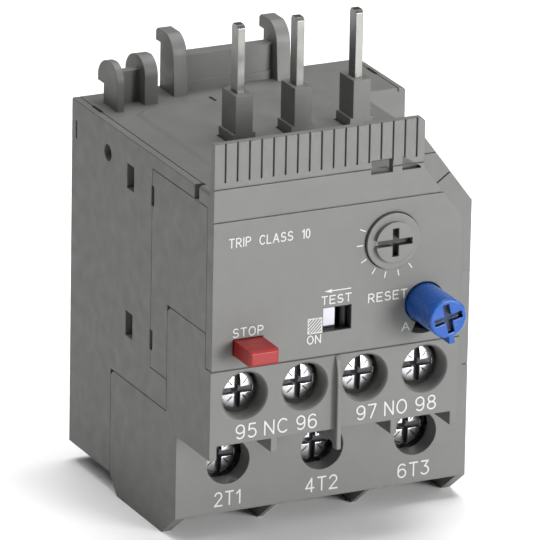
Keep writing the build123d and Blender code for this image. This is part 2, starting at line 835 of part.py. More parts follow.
# Terminal housing: control block above, main block below
with BuildPart() as terminal_housing:
    add(envelope.part)
    across(terminal_zone, left - past, half + past, Mode.INTERSECT)
    block((left - over, half + over), (-past, contact_face), (0, cover_foot_z), Mode.SUBTRACT)
    lip_depths = (step_depth, contact_rear - gap - corner_notch)
    block((front_right, half), lip_depths, (side_step_z - seam, side_step_z + gap))
    notch_zs = (strip_notch_z - line_width / 2, strip_notch_z + line_width / 2)
    notch_xs = (half - strip_notch_length, half + over)
    block(notch_xs, (step_depth - over, step_depth + line_depth), notch_zs, Mode.SUBTRACT)
    upper = (block_roof_z, side_step_z + over)
    block((left + wall, panel_inner_right), (-over, inner_step), upper, Mode.SUBTRACT)
    block((left + wall, inner_half), (inner_step, contact_rear + over), upper, Mode.SUBTRACT)
    for x in contact_xs:
        room = (x - contact_chamber, x + contact_chamber)
        front = (contact_face + contact_front_wall, contact_plate_back)
        block(room, front, (skirt_z - over, contact_strip_top_z), Mode.SUBTRACT)
        block(room, (-over, front[0]), (skirt_z - over, contact_lip_z), Mode.SUBTRACT)
        rod(x, contact_screw_z, contact_hole_radius, -over, front[0], Mode.SUBTRACT)
        shank_end = contact_clamp_front + contact_shank_length + clearance
        hidden_rod(x, contact_screw_z, contact_shank_radius + clearance, front[1], shank_end, Mode.SUBTRACT)
        strip_half = contact_strip_width / 2 + fit
        strip_zs = (contact_strip_foot_z, contact_strip_top_z)
        block((x - strip_half, x + strip_half), (front[1], contact_rear), strip_zs, Mode.SUBTRACT)
    divider_x = (contact_xs[1] + contact_xs[2]) / 2
    divider = [
        (contact_face - divider_proud, skirt_z),
        (contact_face, cover_foot_z - wall),
        (contact_face + wall, cover_foot_z - wall),
        (contact_face + wall, skirt_z),
    ]
    across(divider, divider_x - divider_width / 2, divider_x + divider_width / 2)
    for x in main_xs:
        room = (x - main_chamber, x + main_chamber)
        chamber_front = step_depth + main_front_wall
        chamber_rear = lower_rear - wall
        floor_z = lower_face_foot_z + wall
        block(room, (chamber_front, chamber_rear), (floor_z, block_ceiling_z), Mode.SUBTRACT)
        stop_depths = (main_plate_back, main_plate_back + wire_stop_thickness)
        block(room, (chamber_front, stop_depths[0]), (-past, floor_z + over), Mode.SUBTRACT)
        block(room, stop_depths, (lower_face_foot_z, wire_stop_top_z))
        rod(x, main_screw_z, main_hole_radius, step_depth - over, chamber_front, Mode.SUBTRACT)
    for x in heater_xs:
        slot = (x - riser_width / 2 - riser_gap, x + riser_width / 2 + riser_gap)
        slot_depths = (riser_front - riser_gap, riser_back + riser_gap)
        block(slot, slot_depths, (block_ceiling_z - over, lower_top_z + over), Mode.SUBTRACT)
    guide_xs = (stop_x - stop_width / 2, stop_x + stop_width / 2)
    guide_depths = (stop_guide_front, stop_guide_front + stop_guide_thickness)
    block(guide_xs, guide_depths, (block_roof_z, side_step_z - gap))
    guide_hole = (guide_depths[0] - over, guide_depths[1] + over)
    rod(stop_x, stop_z, stop_stem_radius + fit, guide_hole[0], guide_hole[1], Mode.SUBTRACT)
    chamfer(
        terminal_housing.faces().filter_by(Axis.Y).group_by(Axis.Y)[0].edges().filter_by(GeomType.CIRCLE),
        length=hole_chamfer,
    )
terminal_housing.part.label = "terminal_housing"
export_step(terminal_housing.part, "parts/terminal_housing.step")

# Front cover: panel, blank strip and finger bar
with BuildPart() as front_cover:
    add(envelope.part)
    across(cover_zone, left - past, half + past, Mode.INTERSECT)
    bar = [
        (left, wall_top_z - over),
        (left, bar_top_z),
        (left + bar_width - bar_round, bar_top_z),
        (left + bar_width, bar_top_z - bar_round),
        (left + bar_width, wall_top_z - over),
    ]
    through(bar, 0, bar_thickness)
    for z in (strip_z, bar_foot_z):
        line_zs = (z - line_width / 2, z + line_width / 2)
        block((left - over, half), (-over, line_depth), line_zs, Mode.SUBTRACT)
    fingers = int((bar_width - finger_first) / finger_pitch) + 1
    for i in range(fingers):
        x = left + finger_first + i * finger_pitch
        groove = (x - finger_groove / 2, x + finger_groove / 2)
        block(groove, (-over, line_depth), (bar_foot_z + finger_foot, bar_top_z + over), Mode.SUBTRACT)
    opening = (left + bar_window_start, left + bar_window_start + bar_window_width)
    window_zs = (bar_window_foot_z, bar_window_top_z)
    block(opening, (-over, bar_thickness + over), window_zs, Mode.SUBTRACT)
    notch = [(left + x, z) for x, z in bar_notch]
    through(notch, -over, bar_thickness + over, Mode.SUBTRACT)
    hidden_rod(dial_x, dial_z, shaft_radius + fit + dial_sleeve_wall, cover_depth / 2, dial_sleeve_end)
    rod(dial_x, dial_z, dial_radius + dial_gap, -over, dial_thickness - dial_proud + fit, Mode.SUBTRACT)
    rod(dial_x, dial_z, shaft_radius + fit, -over, dial_sleeve_end + over, Mode.SUBTRACT)
    hidden_rod(reset_x, reset_z, reset_sleeve_outer, cover_depth - gap - seam, reset_sleeve_end)
    sleeve_inner_end = reset_sleeve_end - sleeve_floor
    rod(reset_x, reset_z, reset_sleeve_inner, cover_depth - gap, sleeve_inner_end, Mode.SUBTRACT)
    rod(reset_x, reset_z, reset_radius + reset_gap, -over, cover_depth, Mode.SUBTRACT)
    rod(reset_x, reset_z, plunger_radius + fit, cover_depth, reset_sleeve_end + over, Mode.SUBTRACT)
    pocket_middle = pointer_angle - pointer_sweep / 2
    pocket_half = pointer_sweep / 2 + pointer_half_angle + pointer_pocket_margin
    pie(
        reset_x,
        reset_z,
        pointer_pocket_radius,
        pocket_middle,
        pocket_half,
        -over,
        pointer_pocket_end,
        Mode.SUBTRACT,
    )
    stop_xs = (stop_x - stop_width / 2 - stop_gap, stop_x + stop_width / 2 + stop_gap)
    stop_zs = (stop_z - stop_height / 2 - stop_gap, stop_z + stop_height / 2 + stop_gap)
    through_depths = (-over, cover_depth + over)
    block(stop_xs, through_depths, stop_zs, Mode.SUBTRACT)
    block((window_left, window_right), through_depths, (window_foot_z, window_top_z), Mode.SUBTRACT)
    travel_xs = (slider_left - test_travel - clearance, window_right + slider_overlap)
    slider_zs = (slider_foot_z - finger_gap, slider_top_z + finger_gap)
    block(travel_xs, (slider_pocket_depth, cover_depth + over), slider_zs, Mode.SUBTRACT)
    for zs in ((slider_zs[0] - rail_height, slider_zs[0]), (slider_zs[1], slider_zs[1] + rail_height)):
        block(travel_xs, (cover_depth - seam, rail_end), zs)
front_cover.part.label = "front_cover"
export_step(front_cover.part, "parts/front_cover.step")

# Power path: connection pins, bimetal strips, heater windings
for i, (pin_x, heater_x) in enumerate(zip(pin_xs, heater_xs), start=1):
    with BuildPart() as connection_pin:
        pin_half = pin_width / 2
        pin_depths = (pin_depth - pin_length / 2, pin_depth + pin_length / 2)
        blade = [
            (pin_depths[0], foot_z),
            (pin_depths[1], foot_z),
            (pin_depths[1], pin_top_z - pin_taper),
            (pin_depths[1] - pin_tip, pin_top_z),
            (pin_depths[0] + pin_tip, pin_top_z),
            (pin_depths[0], pin_top_z - pin_taper),
        ]
        across(blade, pin_x - pin_half, pin_x + pin_half)
        foot = [
            (pin_x - foot_half_width, foot_front),
            (pin_x + foot_half_width, foot_front),
            (pin_x + foot_half_width, foot_turn),
            (heater_x + foot_half_width, foot_turn_end),
            (heater_x + foot_half_width, foot_end),
            (heater_x - foot_half_width, foot_end),
            (heater_x - foot_half_width, foot_turn_end),
            (pin_x - foot_half_width, foot_turn),
        ]
        upright(foot, foot_z, foot_top_z)
    connection_pin.part.label = f"connection_pin_{i}"
    export_step(connection_pin.part, f"parts/connection_pin_{i}.step")

    with BuildPart() as bimetal_strip:
        strip_xs = (heater_x - bimetal_thickness / 2, heater_x + bimetal_thickness / 2)
        strip_depths = (bimetal_front, bimetal_front + bimetal_width)
        block(strip_xs, strip_depths, (bimetal_foot_z, foot_z))
    bimetal_strip.part.label = f"bimetal_strip_{i}"
    export_step(bimetal_strip.part, f"parts/bimetal_strip_{i}.step")

    with BuildPart() as heater_winding:
        outer_xs = (heater_x - winding_half, heater_x + winding_half)
        inner_xs = (outer_xs[0] + winding_wire, outer_xs[1] - winding_wire)
        outer_depths = (winding_front, winding_back)
        inner_depths = (winding_front + winding_wire, winding_back - winding_wire)
        for turn in range(winding_turns):
            turn_z = winding_foot_z + turn * winding_pitch
            turn_zs = (turn_z, turn_z + winding_turn_height)
            block(outer_xs, outer_depths, turn_zs)
            block(inner_xs, inner_depths, turn_zs, Mode.SUBTRACT)
        for turn in range(winding_turns - 1):
            link_z = winding_foot_z + turn * winding_pitch + winding_turn_height
            link_depths = (winding_front, inner_depths[0]) if turn % 2 else (inner_depths[1], winding_back)
            block(outer_xs, link_depths, (link_z, link_z + winding_pitch - winding_turn_height))
        block(outer_xs, (inner_depths[1], winding_back), (winding_top_z, foot_z))
        block(outer_xs, (winding_front, inner_depths[0]), (riser_top_z - riser_width, winding_foot_z))
    heater_winding.part.label = f"heater_winding_{i}"
    export_step(heater_winding.part, f"parts/heater_winding_{i}.step")


# Screw with a cross recess and fine marks between its arms
def clamp_screw(x, z, head_front, head_thickness, head_radius, shank_radius, shank_length):
    """Cheese-head terminal screw that points backwards."""
    with BuildPart() as screw:
        rod(x, z, head_radius, head_front, head_front + head_thickness)
        chamfer(screw.edges().filter_by(GeomType.CIRCLE).sort_by(Axis.Y)[0], length=hole_chamfer)
        shank_start = head_front + head_thickness
        hidden_rod(x, z, shank_radius, shank_start, shank_start + shank_length)
        length = 2 * (head_radius - drive_margin)
        for angle, width, depth in (
            (0, drive_width, drive_depth),
            (90, drive_width, drive_depth),
            (45, drive_mark_width, drive_mark_depth),
            (135, drive_mark_width, drive_mark_depth),
        ):
            with BuildSketch(front_plane(head_front)):
                with Locations((x, z)):
                    Rectangle(length, width, rotation=angle)
            extrude(amount=-depth, mode=Mode.SUBTRACT)
    return screw


# Main terminals
for i, (x, heater_x) in enumerate(zip(main_xs, heater_xs), start=1):
    with BuildPart() as main_terminal:
        plate_half = main_plate_width / 2
        plate_depths = (main_plate_front, main_plate_back)
        block((x - plate_half, x + plate_half), plate_depths, (main_plate_foot_z, block_ceiling_z))
        flange = [
            (x - flange_half_width, main_plate_front),
            (x + flange_half_width, main_plate_front),
            (x + flange_half_width, main_plate_back + flange_half_width),
            (heater_x + riser_width / 2, riser_front - flange_half_width),
            (heater_x + riser_width / 2, riser_back),
            (heater_x - riser_width / 2, riser_back),
            (heater_x - riser_width / 2, riser_front - flange_half_width),
            (x - flange_half_width, main_plate_back + flange_half_width),
        ]
        upright(flange, block_ceiling_z - flange_thickness, block_ceiling_z)
        riser_xs = (heater_x - riser_width / 2, heater_x + riser_width / 2)
        block(riser_xs, (riser_front, riser_back), (block_ceiling_z - flange_thickness, riser_top_z))
        hole = (main_plate_front - over, main_plate_back + over)
        rod(x, main_screw_z, main_shank_radius + fit, hole[0], hole[1], Mode.SUBTRACT)
    main_terminal.part.label = f"main_terminal_{i}"
    export_step(main_terminal.part, f"parts/main_terminal_{i}.step")

    with BuildPart() as main_clamp:
        clamp_half = main_clamp_width / 2
        clamp_depths = (main_clamp_front, main_plate_front)
        block((x - clamp_half, x + clamp_half), clamp_depths, (main_clamp_foot_z, main_clamp_top_z))
        chamfer(main_clamp.edges().filter_by(Axis.Y), length=edge_round)
        hole = (main_clamp_front - over, main_plate_front + over)
        rod(x, main_screw_z, main_shank_radius + fit, hole[0], hole[1], Mode.SUBTRACT)
    main_clamp.part.label = f"main_clamp_{i}"
    export_step(main_clamp.part, f"parts/main_clamp_{i}.step")

    main_screw = clamp_screw(
        x,
        main_screw_z,
        main_head_depth,
        main_head_thickness,
        main_head_radius,
        main_shank_radius,
        main_shank_length,
    )
    main_screw.part.label = f"main_screw_{i}"
    export_step(main_screw.part, f"parts/main_screw_{i}.step")

# Control terminals
for i, x in enumerate(contact_xs, start=1):
    with BuildPart() as contact_terminal:
        plate_half = contact_plate_width / 2
        plate_depths = (contact_plate_front, contact_plate_back)
        block((x - plate_half, x + plate_half), plate_depths, (contact_plate_foot_z, contact_strip_top_z))
        strip_xs = (x - contact_strip_width / 2, x + contact_strip_width / 2)
        strip_depths = (contact_plate_front, contact_strip_end)
        block(strip_xs, strip_depths, (contact_strip_foot_z, contact_strip_top_z))
        rivet_z = contact_strip_foot_z - rivet_height if i <= 2 else contact_strip_top_z
        with BuildSketch(top_plane(rivet_z)):
            with Locations((x, bridge_front + bridge_width / 2)):
                RegularPolygon(rivet_radius, hidden_sides)
        extrude(amount=rivet_height)
        hole = (contact_plate_front - over, contact_plate_back + fit)
        rod(x, contact_screw_z, contact_shank_radius + fit, hole[0], hole[1], Mode.SUBTRACT)
    contact_terminal.part.label = f"contact_terminal_{i}"
    export_step(contact_terminal.part, f"parts/contact_terminal_{i}.step")

    with BuildPart() as contact_clamp:
        clamp_half = contact_clamp_size / 2
        clamp_depths = (contact_clamp_front, contact_plate_front)
        clamp_zs = (contact_screw_z - clamp_half, contact_screw_z + clamp_half)
        block((x - clamp_half, x + clamp_half), clamp_depths, clamp_zs)
        chamfer(contact_clamp.edges().filter_by(Axis.Y), length=edge_round)
        hole = (contact_clamp_front - over, contact_plate_front + over)
        rod(x, contact_screw_z, contact_shank_radius + fit, hole[0], hole[1], Mode.SUBTRACT)
    contact_clamp.part.label = f"contact_clamp_{i}"
    export_step(contact_clamp.part, f"parts/contact_clamp_{i}.step")

    contact_screw = clamp_screw(
        x,
        contact_screw_z,
        contact_head_depth,
        contact_head_thickness,
        contact_head_radius,
        contact_shank_radius,
        contact_shank_length,
    )
    contact_screw.part.label = f"contact_screw_{i}"
    export_step(contact_screw.part, f"parts/contact_screw_{i}.step")

# Trip slide: a comb whose fingers stand beside the bimetal strips
with BuildPart() as trip_slide:
    slide_zs = (slide_foot_z, slide_top_z)
    block((slide_left, arm_right), (slide_bar_front, slide_bar_back), slide_zs)
    for x in heater_xs:
        finger_left = x + bimetal_thickness / 2 + finger_gap
        finger_zs = (slide_foot_z, slide_top_z)
        block((finger_left, finger_left + slide_finger), (slide_finger_front, slide_bar_front), finger_zs)
    block((arm_left, arm_right), (slide_arm_end, slide_bar_front), slide_zs)
trip_slide.part.label = "trip_slide"
export_step(trip_slide.part, "parts/trip_slide.step")

# Trip lever, its pin and the compensation strip
with BuildPart() as trip_lever:
    neck = (lever_x - lever_neck / 2, lever_x + lever_neck / 2)
    rod(lever_x, lever_z, lever_hub_radius, lever_front, lever_back)
    block(neck, (lever_front, lever_back), (lever_neck_foot_z, lever_top_z))
    arm_corners = [
        (lever_x, lever_z + lever_hub_radius - nose_radius / 2),
        (nose_x, nose_z + nose_radius),
        (nose_x, nose_z),
        (lever_x - lever_hub_radius, nose_z - nose_radius / 2),
        (lever_x, lever_z),
    ]
    through(arm_corners, lever_front, lever_back)
    rod(nose_x, nose_z, nose_radius, lever_front, lever_back)
    rod(lever_x, lever_z, lever_pin_radius + fit, lever_front - over, lever_back + over, Mode.SUBTRACT)
trip_lever.part.label = "trip_lever"
export_step(trip_lever.part, "parts/trip_lever.step")

with BuildPart() as compensation_strip:
    strip_top_z = lever_z - lever_hub_radius - clearance
    strip_xs = (compensation_left, compensation_right)
    strip_depths = (lever_front, lever_front + compensation_width)
    block(strip_xs, strip_depths, (slide_foot_z, strip_top_z))
compensation_strip.part.label = "compensation_strip"
export_step(compensation_strip.part, "parts/compensation_strip.step")


def headed_pin(x, z, radius, head_radius, head_front, end):
    """Plain steel pin with a flat head, pointing backwards."""
    with BuildPart() as pin:
        rod(x, z, head_radius, head_front, head_front + pin_head_thickness)
        rod(x, z, radius, head_front + pin_head_thickness, end)
    return pin


pin_end = mech_rear - wall / 3 - fit
lever_pin_front = lever_front - finger_gap - pin_head_thickness
lever_pin = headed_pin(lever_x, lever_z, lever_pin_radius, pin_head_radius, lever_pin_front, pin_end)
lever_pin.part.label = "lever_pin"
export_step(lever_pin.part, "parts/lever_pin.step")

# Contact carrier with its two bridges and its spring
with BuildPart() as contact_carrier:
    carrier_depths = (carrier_front, carrier_back)
    block((beam_left, beam_right), carrier_depths, (beam_foot_z, beam_top_z))
    for x, bridge_z in ((opening_x, opening_bridge_z), (closing_x, closing_bridge_z)):
        post = (x - carrier_post / 2, x + carrier_post / 2)
        block(post, carrier_depths, (bridge_z - carrier_lip, beam_foot_z))
        window_depths = (bridge_front - fit, bridge_front + bridge_width + fit)
        window_zs = (bridge_z, bridge_z + bridge_thickness + fit * 2)
        block((post[0] - over, post[1] + over), window_depths, window_zs, Mode.SUBTRACT)
contact_carrier.part.label = "contact_carrier"
export_step(contact_carrier.part, "parts/contact_carrier.step")

for name, xs, bridge_z, rivet_side in (
    ("opening_bridge", contact_xs[:2], opening_bridge_z, 1),
    ("closing_bridge", contact_xs[2:], closing_bridge_z, -1),
):
    with BuildPart() as bridge:
        ends = (xs[0] - bridge_reach, xs[1] + bridge_reach)
        block(ends, (bridge_front, bridge_front + bridge_width), (bridge_z, bridge_z + bridge_thickness))
        rivet_foot = bridge_z + bridge_thickness if rivet_side > 0 else bridge_z - rivet_height
        with BuildSketch(top_plane(rivet_foot)):
            with Locations(*[(x, bridge_front + bridge_width / 2) for x in xs]):
                RegularPolygon(rivet_radius, hidden_sides)
        extrude(amount=rivet_height)
    bridge.part.label = name
    export_step(bridge.part, f"parts/{name}.step")

carrier_coil = spring(beam_foot_z - mech_inner_floor_z, spring_radius, carrier_rings)
with BuildPart() as carrier_spring:
    add(Pos(spring_x, panel_y + spring_depth, mech_inner_floor_z) * carrier_coil)
carrier_spring.part.label = "carrier_spring"
export_step(carrier_spring.part, "parts/carrier_spring.step")

# Setting dial, its cam and the adjusting lever
with BuildPart() as setting_dial:
    disc_back = dial_thickness - dial_proud
    rod(dial_x, dial_z, dial_radius, -dial_proud, disc_back)
    rod(dial_x, dial_z, hub_radius, -hub_proud, 0)
    rod(dial_x, dial_z, shaft_radius, disc_back, cam_front)
    square = shaft_square / 2
    square_xs = (dial_x - square, dial_x + square)
    block(square_xs, (cam_front, cam_back), (dial_z - square, dial_z + square))
    slot_depths = (-hub_proud - over, dial_slot_depth - hub_proud)
    slot_half = dial_slot_width / 2
    upright_zs = (dial_z - dial_slot_height / 2, dial_z + dial_slot_height / 2)
    block((dial_x - slot_half, dial_x + slot_half), slot_depths, upright_zs, Mode.SUBTRACT)
    level_xs = (dial_x - hub_radius, dial_x - hub_radius + dial_slot_reach)
    block(level_xs, slot_depths, (dial_z - slot_half, dial_z + slot_half), Mode.SUBTRACT)
setting_dial.part.label = "setting_dial"
export_step(setting_dial.part, "parts/setting_dial.step")

with BuildPart() as setting_cam:
    turns = [radians(cam_from + (cam_to - cam_from) * i / cam_steps) for i in range(cam_steps + 1)]
    rising = [cam_mean_radius - cam_rise * (turn - 2 * pi) for turn in turns]
    corners = [(dial_x + r * cos(turn), dial_z + r * sin(turn)) for r, turn in zip(rising, turns)]
    low_from = cam_to + cam_low_gap
    low_sweep = cam_from + 360 - cam_low_gap - low_from
    low = [radians(low_from + low_sweep * i / cam_low_steps) for i in range(cam_low_steps + 1)]
    corners += [(dial_x + cam_low_radius * cos(turn), dial_z + cam_low_radius * sin(turn)) for turn in low]
    through(corners, cam_front, cam_back)
    square = shaft_square / 2 + fit
    square_zs = (dial_z - square, dial_z + square)
    block((dial_x - square, dial_x + square), (cam_front - over, cam_back + over), square_zs, Mode.SUBTRACT)
setting_cam.part.label = "setting_cam"
export_step(setting_cam.part, "parts/setting_cam.step")

with BuildPart() as adjusting_lever:
    follower_left = dial_x + cam_mean_radius + clearance
    rod(adjuster_x, adjuster_z, adjuster_boss_radius, cam_front, cam_back)
    shank = [
        (follower_left, adjuster_foot_z + adjuster_heel),
        (follower_left, dial_z + adjuster_heel),
        (adjuster_x - adjuster_width / 2, adjuster_z),
        (adjuster_x + adjuster_width / 2, adjuster_z),
        (adjuster_x + adjuster_width / 2, adjuster_foot_z + adjuster_heel * 2),
        (adjuster_tip_x + adjuster_peg_radius, adjuster_tip_z),
        (adjuster_tip_x - adjuster_peg_radius, adjuster_tip_z),
    ]
    through(shank, cam_front, cam_back)
    rod(adjuster_tip_x, adjuster_tip_z, adjuster_peg_radius, cam_front, lever_back)
    rod(adjuster_x, adjuster_z, adjuster_pin_radius + fit, cam_front - over, cam_back + over, Mode.SUBTRACT)
adjusting_lever.part.label = "adjusting_lever"
export_step(adjusting_lever.part, "parts/adjusting_lever.step")

adjusting_head = cam_front - finger_gap - pin_head_thickness
adjusting_pin = headed_pin(
    adjuster_x, adjuster_z, adjuster_pin_radius, adjuster_boss_radius, adjusting_head, pin_end
)
adjusting_pin.part.label = "adjusting_pin"
export_step(adjusting_pin.part, "parts/adjusting_pin.step")

# Reset button, plunger and spring
with BuildPart() as reset_button:
    rod(reset_x, reset_z, reset_radius, -reset_proud, reset_shoulder_end)
    rim = reset_button.edges().filter_by(GeomType.CIRCLE).sort_by(Axis.Y)[0]
    chamfer(rim, length=rim_chamfer)
    shoulder_radius = reset_radius + reset_shoulder
    rod(reset_x, reset_z, shoulder_radius, cover_depth - gap + finger_gap, reset_shoulder_end)
    pie(
        reset_x,
        reset_z,
        pointer_radius,
        pointer_angle,
        pointer_half_angle,
        -reset_proud,
        pointer_back,
        Mode.ADD,
    )
    bore_front = reset_shoulder_end - reset_bore_depth
    rod(reset_x, reset_z, reset_bore_radius, bore_front, reset_shoulder_end + over, Mode.SUBTRACT)
    for angle in (reset_slot_turn, reset_slot_turn + 90):
        with BuildSketch(front_plane(-reset_proud)):
            with Locations((reset_x, reset_z)):
                Rectangle(reset_slot_length, reset_slot_width, rotation=angle)
        extrude(amount=-reset_slot_depth, mode=Mode.SUBTRACT)
reset_button.part.label = "reset_button"
export_step(reset_button.part, "parts/reset_button.step")

with BuildPart() as reset_plunger:
    flange_front = reset_shoulder_end + fit
    flange_back = flange_front + plunger_flange
    rod(reset_x, reset_z, plunger_radius, bore_front + finger_gap, plunger_end)
    rod(reset_x, reset_z, plunger_flange_radius, flange_front, flange_back)
reset_plunger.part.label = "reset_plunger"
export_step(reset_plunger.part, "parts/reset_plunger.step")

reset_coil_radius = plunger_radius + clearance + spring_wire
reset_coil = spring(reset_sleeve_end - sleeve_floor - flange_back, reset_coil_radius, button_rings)
with BuildPart() as reset_spring:
    place = Location((reset_x, panel_y + flange_back, reset_z), (-90, 0, 0))
    add(place * reset_coil)
reset_spring.part.label = "reset_spring"
export_step(reset_spring.part, "parts/reset_spring.step")

# Stop button and spring
with BuildPart() as stop_button:
    stop_sides = (stop_x - stop_width / 2, stop_x + stop_width / 2)
    stop_heights = (stop_z - stop_height / 2, stop_z + stop_height / 2)
    block(stop_sides, (-stop_proud, reset_shoulder_end), stop_heights)
    chamfer(stop_button.faces().sort_by(Axis.Y)[0].edges(), length=hole_chamfer)
    flange_sides = (stop_sides[0] - stop_shoulder, stop_sides[1] + stop_shoulder)
    flange_heights = (stop_heights[0] - stop_shoulder, stop_heights[1] + stop_shoulder)
    block(flange_sides, (cover_depth - gap + finger_gap, reset_shoulder_end), flange_heights)
    rod(stop_x, stop_z, stop_stem_radius, reset_shoulder_end, stop_stem_end)
stop_button.part.label = "stop_button"
export_step(stop_button.part, "parts/stop_button.step")

stop_coil_radius = stop_stem_radius + clearance + spring_wire
stop_coil = spring(stop_guide_front - reset_shoulder_end, stop_coil_radius, button_rings)
with BuildPart() as stop_spring:
    place = Location((stop_x, panel_y + reset_shoulder_end, stop_z), (-90, 0, 0))
    add(place * stop_coil)
stop_spring.part.label = "stop_spring"
export_step(stop_spring.part, "parts/stop_spring.step")

# Test slider: plate behind the window, with an arm that reaches the trip lever
with BuildPart() as test_slider:
    block((slider_left, slider_right), (slider_front, slider_back), (slider_foot_z, slider_top_z))
    bar_top = slider_bar_foot_z + slider_bar_height
    bar_back = slider_bar_depth + slider_bar_thickness
    tail_corners = [
        (slider_back, slider_top_z - slider_bar_height),
        (bar_back, slider_top_z - slider_bar_height),
        (bar_back, bar_top),
        (rail_end + clearance, bar_top),
        (rail_end + clearance, slider_top_z),
        (slider_back, slider_top_z),
    ]
    across(tail_corners, slider_left, slider_left + slider_bar_height)
    tab = (slider_tab_left, slider_tab_left + slider_bar_thickness)
    block((slider_left, tab[1]), (slider_bar_depth, bar_back), (slider_bar_foot_z, bar_top))
    block(tab, (slider_bar_depth, lever_back), (slider_bar_foot_z, bar_top))
test_slider.part.label = "test_slider"
export_step(test_slider.part, "parts/test_slider.step")
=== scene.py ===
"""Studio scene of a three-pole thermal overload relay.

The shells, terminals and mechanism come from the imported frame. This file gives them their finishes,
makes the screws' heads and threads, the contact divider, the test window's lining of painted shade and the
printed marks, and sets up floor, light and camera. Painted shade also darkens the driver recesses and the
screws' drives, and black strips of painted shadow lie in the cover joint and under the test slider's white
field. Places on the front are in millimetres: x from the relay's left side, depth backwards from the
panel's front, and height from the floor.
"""

import json
import logging
from dataclasses import asdict, dataclass, field
from enum import Enum

import bmesh
import bpy
import numpy as np
from mathutils import Matrix, Vector


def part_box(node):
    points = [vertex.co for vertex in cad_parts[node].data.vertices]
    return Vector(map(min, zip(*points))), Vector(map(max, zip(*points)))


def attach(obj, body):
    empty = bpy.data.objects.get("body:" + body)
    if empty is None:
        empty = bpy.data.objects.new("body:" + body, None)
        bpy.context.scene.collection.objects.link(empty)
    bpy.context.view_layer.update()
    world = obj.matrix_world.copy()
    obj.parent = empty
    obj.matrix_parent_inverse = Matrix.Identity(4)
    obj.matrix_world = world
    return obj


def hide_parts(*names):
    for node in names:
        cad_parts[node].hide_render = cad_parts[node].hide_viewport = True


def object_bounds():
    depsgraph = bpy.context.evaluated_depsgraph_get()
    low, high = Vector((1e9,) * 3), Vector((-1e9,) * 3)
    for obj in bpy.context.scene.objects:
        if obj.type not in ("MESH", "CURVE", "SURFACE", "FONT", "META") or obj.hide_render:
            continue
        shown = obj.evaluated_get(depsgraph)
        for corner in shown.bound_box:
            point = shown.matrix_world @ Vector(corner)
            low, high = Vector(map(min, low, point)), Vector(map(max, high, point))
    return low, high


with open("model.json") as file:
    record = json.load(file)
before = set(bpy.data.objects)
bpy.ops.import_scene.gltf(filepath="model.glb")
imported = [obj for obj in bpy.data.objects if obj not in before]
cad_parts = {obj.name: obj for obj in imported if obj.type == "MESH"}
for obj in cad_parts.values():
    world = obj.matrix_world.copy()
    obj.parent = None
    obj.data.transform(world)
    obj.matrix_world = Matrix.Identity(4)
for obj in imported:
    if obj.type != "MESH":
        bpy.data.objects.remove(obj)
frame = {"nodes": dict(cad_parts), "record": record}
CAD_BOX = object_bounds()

MM = 0.001
MERGE_MM = 0.0005
# Sockets of the Mix node in its colour mode, where the names repeat.
MIX_FACTOR, MIX_FIRST, MIX_SECOND, MIX_RESULT = 0, 6, 7, 2
Tree, Node, Socket, Piece = bpy.types.NodeTree, bpy.types.Node, bpy.types.NodeSocket, bpy.types.Object
LOG = logging.getLogger("relay")


def linear(colour: str) -> tuple[float, float, float, float]:
    """Turns an sRGB hex colour to linear light.

    Args:
        colour: Six hex digits after a hash sign.

    Returns:
        Red, green, blue and an alpha of one.
    """
    srgb = np.array([int(colour[i : i + 2], 16) for i in (1, 3, 5)]) / 255
    light = np.where(srgb <= 0.04045, srgb / 12.92, ((srgb + 0.055) / 1.055) ** 2.4)
    return (float(light[0]), float(light[1]), float(light[2]), 1.0)


def add_node(
    tree: Tree,
    kind: str,
    settings: dict | None = None,
    values: dict | None = None,
    links: dict | None = None,
) -> Node:
    """Adds a node with its settings, socket values and incoming links.

    Args:
        tree: Node tree that gets the node.
        kind: Blender's name of the node type.
        settings: Attributes of the node.
        values: Constant values by input socket.
        links: Source sockets by input socket.

    Returns:
        The new node.
    """
    node = tree.nodes.new(kind)
    for name, value in (settings or {}).items():
        setattr(node, name, value)
    for socket, value in (values or {}).items():
        node.inputs[socket].default_value = value
    for socket, source in (links or {}).items():
        tree.links.new(source, node.inputs[socket])
    return node


def map_range(tree: Tree, value: Socket, source: tuple[float, float], target: tuple[float, float]) -> Socket:
    """Adds a node that maps one range of a value to another.

    Args:
        tree: Node tree that gets the node.
        value: Socket that gives the value.
        source: Ends of its range.
        target: What the ends become.

    Returns:
        The mapped value.
    """
    ends = dict(zip(("From Min", "From Max", "To Min", "To Max"), source + target))
    return add_node(tree, "ShaderNodeMapRange", values=ends, links={"Value": value}).outputs["Result"]


